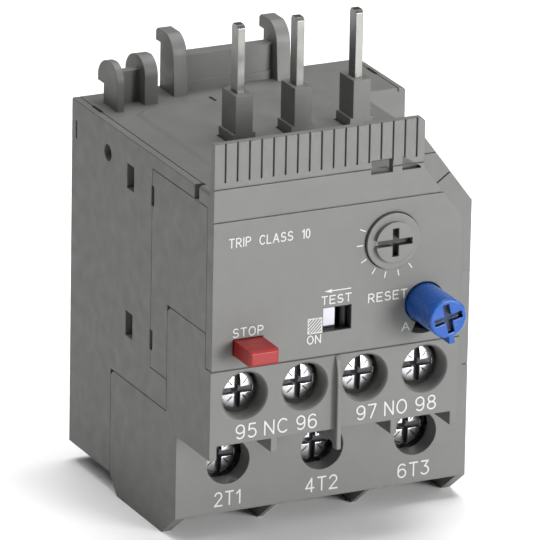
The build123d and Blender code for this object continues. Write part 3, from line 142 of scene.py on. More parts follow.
@dataclass(frozen=True)
class Finish:
    """Surface of one real material, dressed on Object coordinates.

    The tone drifts over tone_mm and the roughness over a share of that. The grain is the mould's or the
    tool's texture, and the edge is the radius of a corner of the real piece.
    """

    name: str
    colour: str
    roughness: float
    metallic: float = 0.0
    ior: float = 1.5
    tone_mm: float = 9.0
    tone_change: float = 0.05
    patches_per_tone: float = 4.0
    patch_span: tuple[float, float] = (0.3, 0.7)
    roughness_change: float = 0.08
    grain_mm: float = 0.4
    grain_height_mm: float = 0.012
    grain_stretch: tuple[float, float, float] = (1.0, 1.0, 1.0)
    noise_detail: float = 3.0
    edge_mm: float = 0.16
    edge_samples: int = 6

    def material(self) -> bpy.types.Material:
        """Returns the Blender material, made once."""
        known = bpy.data.materials.get(self.name)
        if known is not None:
            return known
        material = bpy.data.materials.new(self.name)
        material.use_nodes = True
        tree = material.node_tree
        tree.nodes.clear()
        shader = add_node(
            tree,
            "ShaderNodeBsdfPrincipled",
            values={"Metallic": self.metallic, "IOR": self.ior, "Roughness": self.roughness},
        )
        add_node(tree, "ShaderNodeOutputMaterial", links={"Surface": shader.outputs["BSDF"]})
        place = add_node(tree, "ShaderNodeTexCoord").outputs["Object"]
        self.paint(tree, shader, place)
        self.relief(tree, shader, place)
        return material

    def noise(self, tree: Tree, place: Socket, size_mm: float) -> Socket:
        """Adds a noise whose patches measure about the given size.

        Args:
            tree: Node tree of the material.
            place: Coordinates that the noise reads.
            size_mm: Size of a patch on the real surface.

        Returns:
            The noise value, from nought to one.
        """
        values = {"Scale": 1 / (size_mm * MM), "Detail": self.noise_detail}
        return add_node(tree, "ShaderNodeTexNoise", values=values, links={"Vector": place}).outputs[0]

    def paint(self, tree: Tree, shader: Node, place: Socket) -> None:
        """Gives the colour its slow change of tone and the roughness its patches.

        Args:
            tree: Node tree of the material.
            shader: Surface shader.
            place: Coordinates that the noises read.
        """
        base = np.array(linear(self.colour))[:3]
        tones = {
            MIX_FIRST: tuple(base * (1 - self.tone_change)) + (1.0,),
            MIX_SECOND: tuple(base * (1 + self.tone_change)) + (1.0,),
        }
        patch = self.noise(tree, place, self.tone_mm)
        tone = add_node(tree, "ShaderNodeMix", {"data_type": "RGBA"}, tones, {MIX_FACTOR: patch})
        tree.links.new(tone.outputs[MIX_RESULT], shader.inputs["Base Color"])
        spread = (self.roughness - self.roughness_change, self.roughness + self.roughness_change)
        patch = self.noise(tree, place, self.tone_mm / self.patches_per_tone)
        tree.links.new(map_range(tree, patch, self.patch_span, spread), shader.inputs["Roughness"])

    def relief(self, tree: Tree, shader: Node, place: Socket) -> None:
        """Gives the surface its grain, and its corners the small radius of the real edge.

        Args:
            tree: Node tree of the material.
            shader: Surface shader.
            place: Coordinates that the grain reads.
        """
        stretch = {"Scale": self.grain_stretch}
        stretched = add_node(tree, "ShaderNodeMapping", values=stretch, links={"Vector": place})
        radius = {"Radius": self.edge_mm * MM}
        edge = add_node(tree, "ShaderNodeBevel", {"samples": self.edge_samples}, radius)
        grain = self.noise(tree, stretched.outputs[0], self.grain_mm)
        bump = add_node(
            tree,
            "ShaderNodeBump",
            values={"Strength": 1.0, "Distance": self.grain_height_mm * MM},
            links={"Height": grain, "Normal": edge.outputs[0]},
        )
        tree.links.new(bump.outputs[0], shader.inputs["Normal"])


# Glass-filled polyamide from a spark-eroded mould: an even, dull grey that never shines. The real grain
# is about 0.1 mm and is drawn at 0.45 mm, so that it still shows.
HOUSING = Finish("moulded_polyamide_grey", "#5e5e5c", 0.55, grain_mm=0.45, grain_height_mm=0.01)
# The same polyamide from a smoother mould, for the small turned parts.
DIAL = Finish("smooth_polyamide_grey", "#60605e", 0.45, grain_height_mm=0.006)


@dataclass(frozen=True)
class RecessShade:
    """Painted shade of a driver recess: reach from the axis, depths where it starts and is full, colour."""

    reach_mm: float
    shallow_mm: float
    deep_mm: float
    colour: str


@dataclass(frozen=True, kw_only=True)
class RecessShadeFinish(Finish):
    """A smooth plastic with painted shade in its driver recess, standing in for walls that keep the light in.

    The axis is in x and height and the front in depth, in metres of the frame.
    """

    axis: tuple[float, float]
    front: float
    recess: RecessShade

    def paint(self, tree: Tree, shader: Node, place: Socket) -> None:
        """Paints the plastic and paints shade on what lies within reach of the axis and behind the front.

        Args:
            tree: Node tree of the material.
            shader: Surface shader.
            place: Coordinates that the recess reads.
        """
        super().paint(tree, shader, place)
        plain = shader.inputs["Base Color"].links[0].from_socket
        vector, number = "ShaderNodeVectorMath", "ShaderNodeMath"
        centre = (self.axis[0], 0.0, self.axis[1])
        offset = add_node(tree, vector, {"operation": "SUBTRACT"}, {1: centre}, {0: place})
        flat = add_node(tree, vector, {"operation": "MULTIPLY"}, {1: (1.0, 0.0, 1.0)}, {0: offset.outputs[0]})
        radius = add_node(tree, vector, {"operation": "LENGTH"}, links={0: flat.outputs[0]}).outputs["Value"]
        # Painted shade: the colour turns to the recess's shade colour within reach of the axis, fuller with
        # depth.
        reach = self.recess.reach_mm * MM
        inside = add_node(tree, number, {"operation": "LESS_THAN"}, {1: reach}, {0: radius})
        along = add_node(tree, "ShaderNodeSeparateXYZ", links={0: place}).outputs["Y"]
        ends = (self.front + self.recess.shallow_mm * MM, self.front + self.recess.deep_mm * MM)
        depth = map_range(tree, along, ends, (0.0, 1.0))
        share = add_node(tree, number, {"operation": "MULTIPLY"}, links={0: inside.outputs[0], 1: depth})
        shade = {MIX_SECOND: linear(self.recess.colour)}
        links = {MIX_FACTOR: share.outputs[0], MIX_FIRST: plain}
        tone = add_node(tree, "ShaderNodeMix", {"data_type": "RGBA"}, shade, links)
        tree.links.new(tone.outputs[MIX_RESULT], shader.inputs["Base Color"])


# Black polyacetal of the mechanism, slightly greasy.
MECHANISM = Finish("black_acetal", "#1c1c1c", 0.4, grain_height_mm=0.006)
# Dyed acetal from a polished mould: saturated, with a soft gloss on its flat front.
BLUE = Finish("blue_acetal", "#0a4690", 0.28, grain_height_mm=0.005, tone_change=0.03, edge_mm=0.25)
RED = Finish("red_acetal", "#820404", 0.36, grain_height_mm=0.005, tone_change=0.03, edge_mm=0.2)
# Undyed acetal, cool white.
WHITE = Finish("white_acetal", "#b8b7c0", 0.45, grain_height_mm=0.004, tone_change=0.02, edge_mm=0.08)
# White laser marking, a matt foamed skin of the plastic.
MARKING = Finish(
    "white_laser_marking", "#b4b4b2", 0.7, grain_mm=0.2, grain_height_mm=0.004, tone_change=0.02, edge_mm=0.02
)
# Bright zinc on steel: mirror-like with a faint orange peel.
ZINC = Finish(
    "bright_zinc_plate",
    "#c8c9cb",
    0.27,
    metallic=1.0,
    grain_mm=0.9,
    grain_height_mm=0.008,
    roughness_change=0.05,
    edge_mm=0.14,
)
# Steel in the punched drive of a screw, painted darker and duller than the zinc as the drive's shade.
DRIVE_SHADE = Finish(
    "steel_drive_painted_shade", "#5a5a5c", 0.42, metallic=0.9, grain_mm=0.5, grain_height_mm=0.01, edge_mm=0.03
)
# Tinned copper, drawn along its length, so its grain runs upwards.
TIN = Finish(
    "tinned_copper",
    "#82827f",
    0.36,
    metallic=1.0,
    grain_mm=0.25,
    grain_height_mm=0.01,
    grain_stretch=(1.0, 1.0, 0.08),
    edge_mm=0.12,
)
# Rolled brass of the terminal plates and bridges.
BRASS = Finish(
    "rolled_brass", "#c8a35c", 0.32, metallic=1.0, grain_mm=0.3, grain_stretch=(0.1, 1.0, 1.0), edge_mm=0.08
)
# Bimetal, a dull rolled nickel-iron strip.
BIMETAL = Finish(
    "rolled_bimetal", "#a3a099", 0.42, metallic=1.0, grain_mm=0.3, grain_stretch=(1.0, 1.0, 0.1), edge_mm=0.06
)
# Nickel-chrome ribbon, browned by heat.
RIBBON = Finish("nickel_chrome_ribbon", "#8d8377", 0.45, metallic=1.0, grain_mm=0.3, edge_mm=0.05)
# Turned steel of the pivots and drawn wire of the springs.
STEEL = Finish("turned_steel", "#b4b5b7", 0.3, metallic=1.0, grain_mm=0.3, edge_mm=0.05)
SPRING = Finish("spring_wire", "#9b9c9f", 0.34, metallic=1.0, grain_mm=0.3, edge_mm=0.03)
# Pale backdrop paper, matt and without a visible grain.
PAPER = Finish(
    "pale_backdrop_paper", "#f4f4f4", 0.9, grain_mm=2.0, tone_mm=200.0, tone_change=0.005, edge_mm=0.01
)


@dataclass
class Frame:
    """CAD nodes of the relay, the finish of each material slot and the nodes with painted recess shade."""

    finishes: dict[str, Finish] = field(
        default_factory=lambda: {
            "housing_grey": HOUSING,
            "cover_grey": HOUSING,
            "dial_grey": DIAL,
            "mechanism_black": MECHANISM,
            "reset_blue": BLUE,
            "stop_red": RED,
            "slider_white": WHITE,
            "pin_tinned_copper": TIN,
            "zinc_plated_steel": ZINC,
            "contact_brass": BRASS,
            "bimetal": BIMETAL,
            "heater_alloy": RIBBON,
            "pivot_steel": STEEL,
            "spring_steel": SPRING,
        }
    )

    # Painted shade in the driver recesses of the reset button and the setting dial.
    painted_recess_shades: dict[str, RecessShade] = field(
        default_factory=lambda: {
            "reset_button": RecessShade(2.3, 0.08, 0.5, "#061d45"),
            "setting_dial": RecessShade(2.2, 0.15, 0.7, "#1c1c1b"),
        }
    )

    def dress(self) -> None:
        """Puts the finish of its slot on every node."""
        for part in frame["record"]["subparts"]:
            node = frame["nodes"][part["node"]]
            finish = self.finishes[part["material_slot"]]
            if part["node"] in self.painted_recess_shades:
                finish = self.with_painted_recess_shade(part["node"], finish)
            node.data.materials.clear()
            node.data.materials.append(finish.material())
            LOG.info("node %s: %s", part["node"], finish.name)

    def with_painted_recess_shade(self, node: str, finish: Finish) -> RecessShadeFinish:
        """Returns the finish with painted shade in the driver recess about the node's own axis.

        Args:
            node: Node with a recess in its front face.
            finish: Finish of the rest of it.

        Returns:
            The finish of this node alone.
        """
        low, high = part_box(node)
        own = asdict(finish)
        # The material of this node carries the painted recess shade.
        own["name"] = f"{finish.name}_with_painted_recess_shade"
        axis = ((low[0] + high[0]) / 2, high[2] - (high[0] - low[0]) / 2)
        return RecessShadeFinish(**own, axis=axis, front=low[1], recess=self.painted_recess_shades[node])


def placed(name: str, data: bpy.types.ID) -> Piece:
    """Puts an object with its data in the scene and returns it."""
    piece = bpy.data.objects.new(name, data)
    bpy.context.scene.collection.objects.link(piece)
    return piece


def make_piece(
    name: str,
    points: np.ndarray,
    faces: list[tuple[int, ...]],
    finishes: list[Finish],
    choice: np.ndarray | None = None,
    crease: float | None = None,
) -> Piece:
    """Makes one closed piece from points in metres, with doubled points merged and its faces outwards.

    Args:
        name: Name of the piece.
        points: Points, one in each row.
        faces: Corners of each face.
        finishes: Finishes of the piece.
        choice: Finish of each face, by number.
        crease: Angle in degrees past which an edge stays sharp, where the piece is smooth.

    Returns:
        The object, at the origin.
    """
    mesh = bpy.data.meshes.new(name)
    mesh.from_pydata(points.tolist(), [], faces)
    if choice is not None:
        mesh.polygons.foreach_set("material_index", choice.astype(np.int32))
    shape = bmesh.new()
    shape.from_mesh(mesh)
    bmesh.ops.remove_doubles(shape, verts=shape.verts, dist=MERGE_MM * MM)
    bmesh.ops.dissolve_degenerate(shape, edges=shape.edges, dist=MERGE_MM * MM)
    bmesh.ops.recalc_face_normals(shape, faces=shape.faces)
    shape.to_mesh(mesh)
    shape.free()
    for finish in finishes:
        mesh.materials.append(finish.material())
    if crease is not None:
        mesh.polygons.foreach_set("use_smooth", np.ones(len(mesh.polygons), dtype=bool))
        mesh.set_sharp_from_angle(angle=np.radians(crease))
    LOG.info("piece %s: %d faces", name, len(mesh.polygons))
    return placed(name, mesh)


def grid_faces(rows: int, columns: int) -> list[tuple[int, ...]]:
    """Corners of the four-sided faces between rows of points whose last column joins the first."""
    index = np.arange(rows * columns).reshape(rows, columns)
    beside = np.roll(index, -1, axis=1)
    quads = np.stack((index[:-1], beside[:-1], beside[1:], index[1:]), axis=-1).reshape(-1, 4)
    return list(map(tuple, quads.tolist()))


def capped_faces(rows: int, columns: int) -> list[tuple[int, ...]]:
    """Corners of the faces of a closed bar: those between its rows and its two ends."""
    last = range((rows - 1) * columns, rows * columns)
    return grid_faces(rows, columns) + [tuple(range(columns))[::-1], tuple(last)]


def front_place(x: np.ndarray, depth: np.ndarray, height: np.ndarray) -> np.ndarray:
    """Turns places on the relay's front to points of the frame.

    Args:
        x: Distance from the relay's left side, in millimetres.
        depth: Distance behind the panel's front.
        height: Height above the floor.

    Returns:
        The points in metres, one in each row.
    """
    x, depth, height = np.broadcast_arrays(x, depth, height)
    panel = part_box("front_cover")[0][1]
    return np.stack((CAD_BOX[0][0] + x * MM, panel + depth * MM, height * MM), axis=-1).reshape(-1, 3)


@dataclass
class TerminalScrew:
    """Domed terminal screw with a slot right across, a blind cross arm, four ticks and a thread.

    It replaces the plain screw of the solids, stands raised_mm further out and is narrower_mm slimmer.
    """

    node: str
    shank_mm: float
    raised_mm: float
    head_mm: float = 2.2
    narrower_mm: float = 0.18
    dome_mm: float = 0.55
    dome_power: float = 2.4
    slot_half_mm: float = 0.46
    slot_depth_mm: float = 1.05
    arm_reach: float = 0.84
    arm_end_mm: float = 0.55
    middle_mm: float = 1.9
    tick_half_mm: float = 0.07
    tick_depth_mm: float = 0.22
    tick_reach: tuple[float, float] = (0.4, 0.76)
    tick_share: float = 0.4
    pitch_mm: float = 0.7
    thread_mm: float = 0.22
    rows_per_pitch: int = 4
    arm_rings: int = 9
    rim_rings: int = 7
    crease: float = 38.0

    def build(self) -> Piece:
        """Builds the screw in the place of its node and returns it."""
        low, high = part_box(self.node)
        radius = (high[0] - low[0]) / 2 / MM - self.narrower_mm
        ring, level, turn, inner = self.head_front(radius)
        spokes = turn[-1]
        thickness = self.head_mm + self.raised_mm
        length = (high[1] - low[1]) / MM + self.raised_mm
        back = np.full_like(spokes, thickness)
        rows = [(np.full_like(spokes, radius), back), (np.full_like(spokes, self.shank_mm), back)]
        rows += self.thread(spokes, thickness, length)
        ring = np.vstack([ring] + [r for r, _ in rows])
        level = np.vstack([level] + [depth for _, depth in rows])
        turn = np.vstack([turn, np.tile(spokes, (len(rows), 1))])
        inner = np.concatenate((inner, np.zeros((len(rows), inner.shape[1]), dtype=bool)))
        centre = ((low[0] + high[0]) / 2, (low[2] + high[2]) / 2)
        front = low[1] - self.raised_mm * MM
        x = centre[0] + ring * np.cos(turn) * MM
        z = centre[1] + ring * np.sin(turn) * MM
        points = np.stack((x, front + level * MM, z), axis=-1).reshape(-1, 3)
        faces = grid_faces(*ring.shape)
        name = f"{self.node}_domed"
        # The faces of the slot, cross arm and ticks take the painted drive shade.
        piece = make_piece(name, points, faces, [ZINC, DRIVE_SHADE], inner[:-1].ravel(), self.crease)
        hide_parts(self.node)
        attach(piece, self.node)
        return piece

    def head_front(self, radius: float) -> tuple[np.ndarray, np.ndarray, np.ndarray, np.ndarray]:
        """Works out the head's front as depth over rings and spokes.

        The dome's depth is its full height times one less the root of one less the radius's share to the
        dome's power. The edge of a slot of half width s meets the ring of radius r at the angle
        arcsin(s / r), so it is straight. A ring or spoke that is there twice, once high and once low,
        makes an upright wall.

        Args:
            radius: Outer radius of the head, in millimetres.

        Returns:
            Radius, depth and angle of each point, and whether the face after it lies in the drive.
        """
        half = self.slot_half_mm
        corner = half * np.sqrt(2)
        reach = radius * self.arm_reach
        middle = (0.0, corner / 2, corner)
        body = np.linspace(corner, reach, self.arm_rings)
        rim = reach + (radius - reach) * np.sin(np.linspace(0, np.pi / 2, self.rim_rings))
        rings = np.concatenate((middle, body, rim))
        cross = np.arange(len(rings)) < len(middle)
        arms_cut = np.arange(len(rings)) < len(middle) + len(body)
        edge = np.arcsin(np.minimum(half / np.maximum(rings, corner), np.sqrt(0.5)))
        share = np.clip(rings / radius, 0, 1)
        dome = self.dome_mm * (1 - np.sqrt(np.maximum(1 - share**self.dome_power, 0)))
        sink = self.middle_mm - (self.middle_mm - self.slot_depth_mm) * np.clip(rings / corner, 0, 1)
        slope = np.clip((rings - corner) / (reach - corner), 0, 1)
        arm = np.where(cross, sink, self.slot_depth_mm + (self.arm_end_mm - self.slot_depth_mm) * slope)
        arm = np.where(arms_cut, arm, dome)
        slot = np.where(cross, sink, self.slot_depth_mm)
        land = np.where(cross, sink, dome)
        ticked = (share > self.tick_reach[0]) & (share < self.tick_reach[1])
        tick = land + self.tick_depth_mm * ticked
        free = np.pi / 4 - edge
        spread = np.minimum(self.tick_half_mm / np.maximum(rings, corner), self.tick_share * free)
        thirds = [part * (free - spread) / 3 for part in (1, 2)]
        turns, depths, inside = [], [], []
        for quarter in range(4):
            start = quarter * np.pi / 2
            floor, cut = (arm, arms_cut) if quarter % 2 == 0 else (slot, np.full(len(rings), True))
            for offset, depth, deep in (
                (-edge, land, cut),
                (-edge, floor, cut),
                (0 * edge, floor, cut),
                (edge, floor, cut),
                (edge, land, cross),
                (edge + thirds[0], land, cross),
                (edge + thirds[1], land, cross),
                (np.pi / 4 - spread, land, cross | ticked),
                (np.pi / 4 + 0 * spread, tick, cross | ticked),
                (np.pi / 4 + spread, land, cross),
                (np.pi / 2 - edge - thirds[1], land, cross),
                (np.pi / 2 - edge - thirds[0], land, cross),
            ):
                turns.append(start + offset)
                depths.append(depth)
                inside.append(deep)
        return (
            np.repeat(rings[:, None], len(turns), axis=1),
            np.stack(depths, axis=1),
            np.stack(turns, axis=1),
            np.stack(inside, axis=1),
        )

    def thread(self, turn: np.ndarray, start: float, end: float) -> list[tuple[np.ndarray, np.ndarray]]:
        """Works out the threaded shank, whose radius swings with depth over pitch less turn over a full turn.

        Args:
            turn: Angle of each spoke.
            start: Depth of the head's back.
            end: Depth of the tip.

        Returns:
            Radius and depth of each row, down to the middle of the tip.
        """
        rows = []
        for depth in np.arange(start, end - self.pitch_mm, self.pitch_mm / self.rows_per_pitch):
            phase = (depth / self.pitch_mm - turn / (2 * np.pi)) % 1
            rows.append((self.shank_mm - self.thread_mm * np.abs(2 * phase - 1), np.full_like(turn, depth)))
        core = self.shank_mm - self.thread_mm
        rows.append((np.full_like(turn, core), np.full_like(turn, end - self.thread_mm)))
        rows.append((np.full_like(turn, core - self.thread_mm), np.full_like(turn, end)))
        rows.append((np.zeros_like(turn), np.full_like(turn, end)))
        return rows


@dataclass
class ScrewRow:
    """One row of equal terminal screws."""

    name: str
    count: int
    shank_mm: float
    raised_mm: float

    def build(self) -> list[Piece]:
        """Builds the screws from left to right and returns them."""
        nodes = [f"{self.name}_{number + 1}" for number in range(self.count)]
        return [TerminalScrew(node, self.shank_mm, self.raised_mm).build() for node in nodes]


@dataclass
class ContactDivider:
    """Slim rib between the two contact pairs, with a fillet on its left and a tapered top.

    The solid's rib is wider and slopes, so it is cut off a copy of the terminal housing and this one is
    joined on. A row of the taper gives a height and the shares of the rib's reach and fillet there. Each
    cleared space is given by its left, right, front, back, foot and top.
    """

    left: float = 18.95
    right: float = 19.66
    face: float = 0.3
    front: float = -0.7
    foot: float = 15.05
    lip: float = 17.8
    lip_half: float = 0.01
    taper: tuple[tuple[float, float, float], ...] = (
        (24.6, 1.0, 1.0),
        (26.6, 0.8, 0.9),
        (28.0, 0.42, 0.6),
        (28.6, 0.06, 0.3),
    )
    fillet: float = 0.45
    fillet_share: float = 0.8
    fillet_points: int = 6
    corner: float = 0.12
    corner_share: float = 0.3
    root: float = 0.25
    cleared: tuple[tuple[float, float, float, float, float, float], ...] = (
        (17.9, 20.1, -2.0, 0.3, 13.0, 28.9),
        (17.9, 18.95, -2.0, 1.8, 13.0, 17.8),
    )

    def build(self) -> list[Piece]:
        """Builds the housing with the slim rib and returns it."""
        mesh = frame["nodes"]["terminal_housing"].data.copy()
        mesh.name = "terminal_block"
        merged = bmesh.new()
        merged.from_mesh(mesh)
        bmesh.ops.remove_doubles(merged, verts=merged.verts, dist=MERGE_MM * MM)
        merged.to_mesh(mesh)
        merged.free()
        block = placed("terminal_block", mesh)
        tools = [(self.cutter(corners), "DIFFERENCE") for corners in self.cleared] + [(self.rib(), "UNION")]
        for tool, operation in tools:
            change = block.modifiers.new(tool.name, "BOOLEAN")
            change.operation = operation
            change.solver = "EXACT"
            change.object = tool
        bpy.context.view_layer.update()
        solved = block.evaluated_get(bpy.context.evaluated_depsgraph_get())
        shaped = bpy.data.meshes.new_from_object(solved)
        block.modifiers.clear()
        block.data = shaped
        for tool, _ in tools:
            bpy.data.objects.remove(tool)
        shaped.materials.clear()
        shaped.materials.append(HOUSING.material())
        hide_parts("terminal_housing")
        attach(block, "relay_base")
        return [block]

    def cutter(self, space: tuple[float, float, float, float, float, float]) -> Piece:
        """Builds the block that clears one space of the housing."""
        left, right, front, back, foot, top = space
        x = np.array((left, right, right, left) * 2)
        depth = np.array((front, front, back, back) * 2)
        height = np.repeat((foot, top), 4)
        return make_piece("divider_space", front_place(x, depth, height), capped_faces(2, 4), [HOUSING])

    def rib(self) -> Piece:
        """Carries the rib's section upwards: its fillet ends below the lip and its reach ends at the top.

        Returns:
            The rib, a closed bar that the housing swallows.
        """
        turn = np.linspace(0, np.pi / 2, self.fillet_points)
        below, above = self.lip - self.lip_half, self.lip + self.lip_half
        rows = ((self.foot, 1.0, 0.0), (below, 1.0, 0.0), (above, 1.0, 1.0)) + self.taper
        sheets = []
        for height, reach_share, round_share in rows:
            reach = (self.face - self.front) * reach_share
            fillet = min(self.fillet * round_share, self.fillet_share * reach)
            corner = min(self.corner, self.corner_share * reach)
            start, crest, rear = self.left - fillet, self.face - reach, self.face + self.root
            edges = (self.left, self.left + corner, self.right - corner, self.right, self.right, start)
            levels = (crest + corner, crest, crest, crest + corner, rear, rear)
            x = np.concatenate((start + fillet * np.sin(turn), edges))
            depth = np.concatenate((self.face - fillet * (1 - np.cos(turn)), levels))
            sheets.append((x, depth, np.full_like(x, height)))
        x, depth, z = (np.stack([sheet[k] for sheet in sheets]) for k in range(3))
        return make_piece("divider_rib", front_place(x, depth, z), capped_faces(*x.shape), [HOUSING])


@dataclass
class CoverJointShadow:
    """Black strip painted into the joint between the front cover's foot and the contact block, as its shadow.
    """

    left: float = 0.05
    right: float = 38.0
    foot: float = 28.62
    top: float = 28.97
    face: float = 0.3
    proud: float = 0.02
    buried: float = 0.15
    samples: int = 24

    def build(self) -> list[Piece]:
        """Carries the shadow strip's small section from left to right and returns it."""
        along = np.linspace(self.left, self.right, self.samples)[:, None]
        depth = self.face + np.array((-self.proud, -self.proud, self.buried, self.buried))
        height = np.array((self.foot, self.top, self.top, self.foot))
        faces = capped_faces(self.samples, len(depth))
        piece = make_piece("cover_joint_shadow_strip", front_place(along, depth, height), faces, [MECHANISM])
        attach(piece, "relay_base")
        return [piece]


@dataclass
class TestWindow:
    """Black lining of painted shade in the test window, the slider's grip rib, and the black foot of painted
    shadow inside it.
    """

    left: float = 16.8
    right: float = 21.15
    foot: float = 32.35
    top: float = 35.9
    depth: float = 1.2
    wall: float = 0.07
    rim: float = 0.05
    rib_middle: float = 20.85
    rib_radius: float = 0.6
    rib_depth: float = 1.95
    rib_overlap: float = 0.5
    rib_flat: float = -0.4
    rib_points: int = 24
    rib_crease: float = 30.0
    shade_sides: tuple[float, float] = (16.9, 19.2)
    shade_top: float = 32.8
    shade_depth: float = 1.235
    shade_lean: float = 0.02

    def build(self) -> list[Piece]:
        """Builds the three pieces and returns them."""
        return [self.painted_shade_lining(), self.rib(), self.foot_shade()]

    def foot_shade(self) -> Piece:
        """Builds the painted shadow under the white field, a black wedge that leans forward towards its top.
        """
        left, right = self.shade_sides
        front, rear = self.shade_depth, self.shade_depth + self.shade_lean
        lip = self.shade_depth - self.shade_lean
        x = np.array((left, right, right, left) * 2)
        depth = np.array((front, front, rear, rear, lip, lip, rear, rear))
        height = np.repeat((self.foot + self.wall, self.shade_top), 4)
        piece = make_piece("slider_foot_shadow", front_place(x, depth, height), capped_faces(2, 4), [MECHANISM])
        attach(piece, "test_slider")
        return piece

    def painted_shade_lining(self) -> Piece:
        """Carries the thin section of the painted shade lining round the window's four corners."""
        right = np.array((0.0, 1.0, 1.0, 0.0))
        up = np.array((0.0, 0.0, 1.0, 1.0))
        inset = np.array((0.0, self.wall, self.wall, 0.0, 0.0))[:, None]
        depth = np.array((self.rim, self.rim, self.depth, self.depth, self.rim))[:, None]
        x = self.left + inset + (self.right - self.left - 2 * inset) * right
        z = self.foot + inset + (self.top - self.foot - 2 * inset) * up
        piece = make_piece("window_shade_lining", front_place(x, depth, z), grid_faces(*x.shape), [MECHANISM])
        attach(piece, "relay_base")
        return piece

    def rib(self) -> Piece:
        """Builds the upright rib, a rounded bar with a flat back that runs past the window's ends."""
        turn = np.linspace(0, 2 * np.pi, self.rib_points, endpoint=False)
        x = self.rib_middle + self.rib_radius * np.cos(turn)
        depth = self.rib_depth - self.rib_radius * np.maximum(np.sin(turn), self.rib_flat)
        low, high = self.foot - self.rib_overlap, self.top + self.rib_overlap
        heights = np.array((low, low, high, high))[:, None]
        share = np.array((0.0, 1.0, 1.0, 0.0))[:, None]
        across = self.rib_middle + (x - self.rib_middle) * share
        along = self.rib_depth + (depth - self.rib_depth) * share
        points = front_place(across, along, heights)
        faces = grid_faces(*across.shape)
        piece = make_piece("slider_grip_rib", points, faces, [MECHANISM], crease=self.rib_crease)
        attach(piece, "test_slider")
        return piece


def arc(
    centre: tuple[float, float], radii: tuple[float, float], turns: tuple[float, float], steps: int = 14
) -> np.ndarray:
    """Points of an elliptical arc, centre plus radius times cosine and sine of the turn.

    Args:
        centre: Middle of the ellipse.
        radii: Half width and half height.
        turns: First and last angle in degrees.
        steps: Number of points.

    Returns:
        The points, one in each row.
    """
    turn = np.radians(np.linspace(turns[0], turns[1], steps))
    return np.column_stack((centre[0] + radii[0] * np.cos(turn), centre[1] + radii[1] * np.sin(turn)))


def line(*points: tuple[float, float]) -> np.ndarray:
    """Points of a straight or broken line."""
    return np.array(points, dtype=float)


def legs(*corners: tuple[float, float]) -> list[np.ndarray]:
    """Straight strokes from corner to corner, each with its own ends."""
    return [line(start, end) for start, end in zip(corners, corners[1:])]


def joined(*pieces: np.ndarray) -> np.ndarray:
    """Puts point rows one after another as one path."""
    return np.vstack(pieces)


def glyphs() -> dict[str, tuple[float, list[np.ndarray]]]:
    """Single-stroke letters and figures on a cap height of one.

    Returns:
        For each character its width and its strokes.
    """
    ring = (0.0, 360.0)
    stem = line((0, 0), (0, 1))
    bowl = joined(
        line((0, 1), (0.3, 1)), arc((0.3, 0.74), (0.26, 0.26), (84, -84)), line((0.3, 0.48), (0, 0.48))
    )
    bends = joined(arc((0.3, 0.74), (0.26, 0.26), (35, 262)), arc((0.28, 0.26), (0.3, 0.26), (82, -145)))
    two = joined(arc((0.28, 0.72), (0.27, 0.28), (165, -25)), line((0, 0)))
    three = arc((0.26, 0.305), (0.3, 0.305), (90, -145), 18)
    five = arc((0.26, 0.32), (0.3, 0.32), (132, -140), 18)
    six = joined(line((0, 0.31)), arc((0.29, 0.66), (0.29, 0.34), (180, 42), 12))
    nine = joined(line((0.58, 0.69)), arc((0.29, 0.34), (0.29, 0.34), (0, -138), 12))
    return {
        "A": (0.70, legs((0, 0), (0.35, 1), (0.7, 0)) + [line((0.12, 0.33), (0.58, 0.33))]),
        "C": (0.62, [arc((0.36, 0.5), (0.36, 0.5), (48, 312), 24)]),
        "E": (0.56, legs((0.56, 1), (0, 1), (0, 0), (0.56, 0)) + [line((0, 0.52), (0.48, 0.52))]),
        "I": (0.0, [stem]),
        "L": (0.5, legs((0, 1), (0, 0), (0.5, 0))),
        "N": (0.62, legs((0, 0), (0, 1), (0.62, 0), (0.62, 1))),
        "O": (0.7, [arc((0.35, 0.5), (0.35, 0.5), ring, 28)]),
        "P": (0.56, [stem, bowl]),
        "R": (0.6, [stem, bowl, line((0.28, 0.48), (0.6, 0))]),
        "S": (0.58, [bends]),
        "T": (0.6, [line((0, 1), (0.6, 1)), line((0.3, 1), (0.3, 0))]),
        "0": (0.56, [arc((0.28, 0.5), (0.28, 0.5), ring, 28)]),
        "1": (0.24, legs((0, 0.76), (0.24, 1), (0.24, 0))),
        "2": (0.58, [two, line((0, 0), (0.58, 0))]),
        "3": (0.56, legs((0.03, 1), (0.52, 1), (0.26, 0.61)) + [three]),
        "4": (0.62, legs((0.44, 0), (0.44, 1), (0, 0.27), (0.62, 0.27))),
        "5": (0.56, legs((0.5, 1), (0.09, 1), (0.04, 0.55)) + [five]),
        "6": (0.58, [arc((0.29, 0.31), (0.29, 0.31), ring, 24), six]),
        "7": (0.56, legs((0, 1), (0.56, 1), (0.18, 0))),
        "8": (0.58, [arc((0.29, 0.77), (0.24, 0.23), ring, 24), arc((0.29, 0.27), (0.29, 0.27), ring, 24)]),
        "9": (0.58, [arc((0.29, 0.69), (0.29, 0.31), ring, 24), nine]),
    }


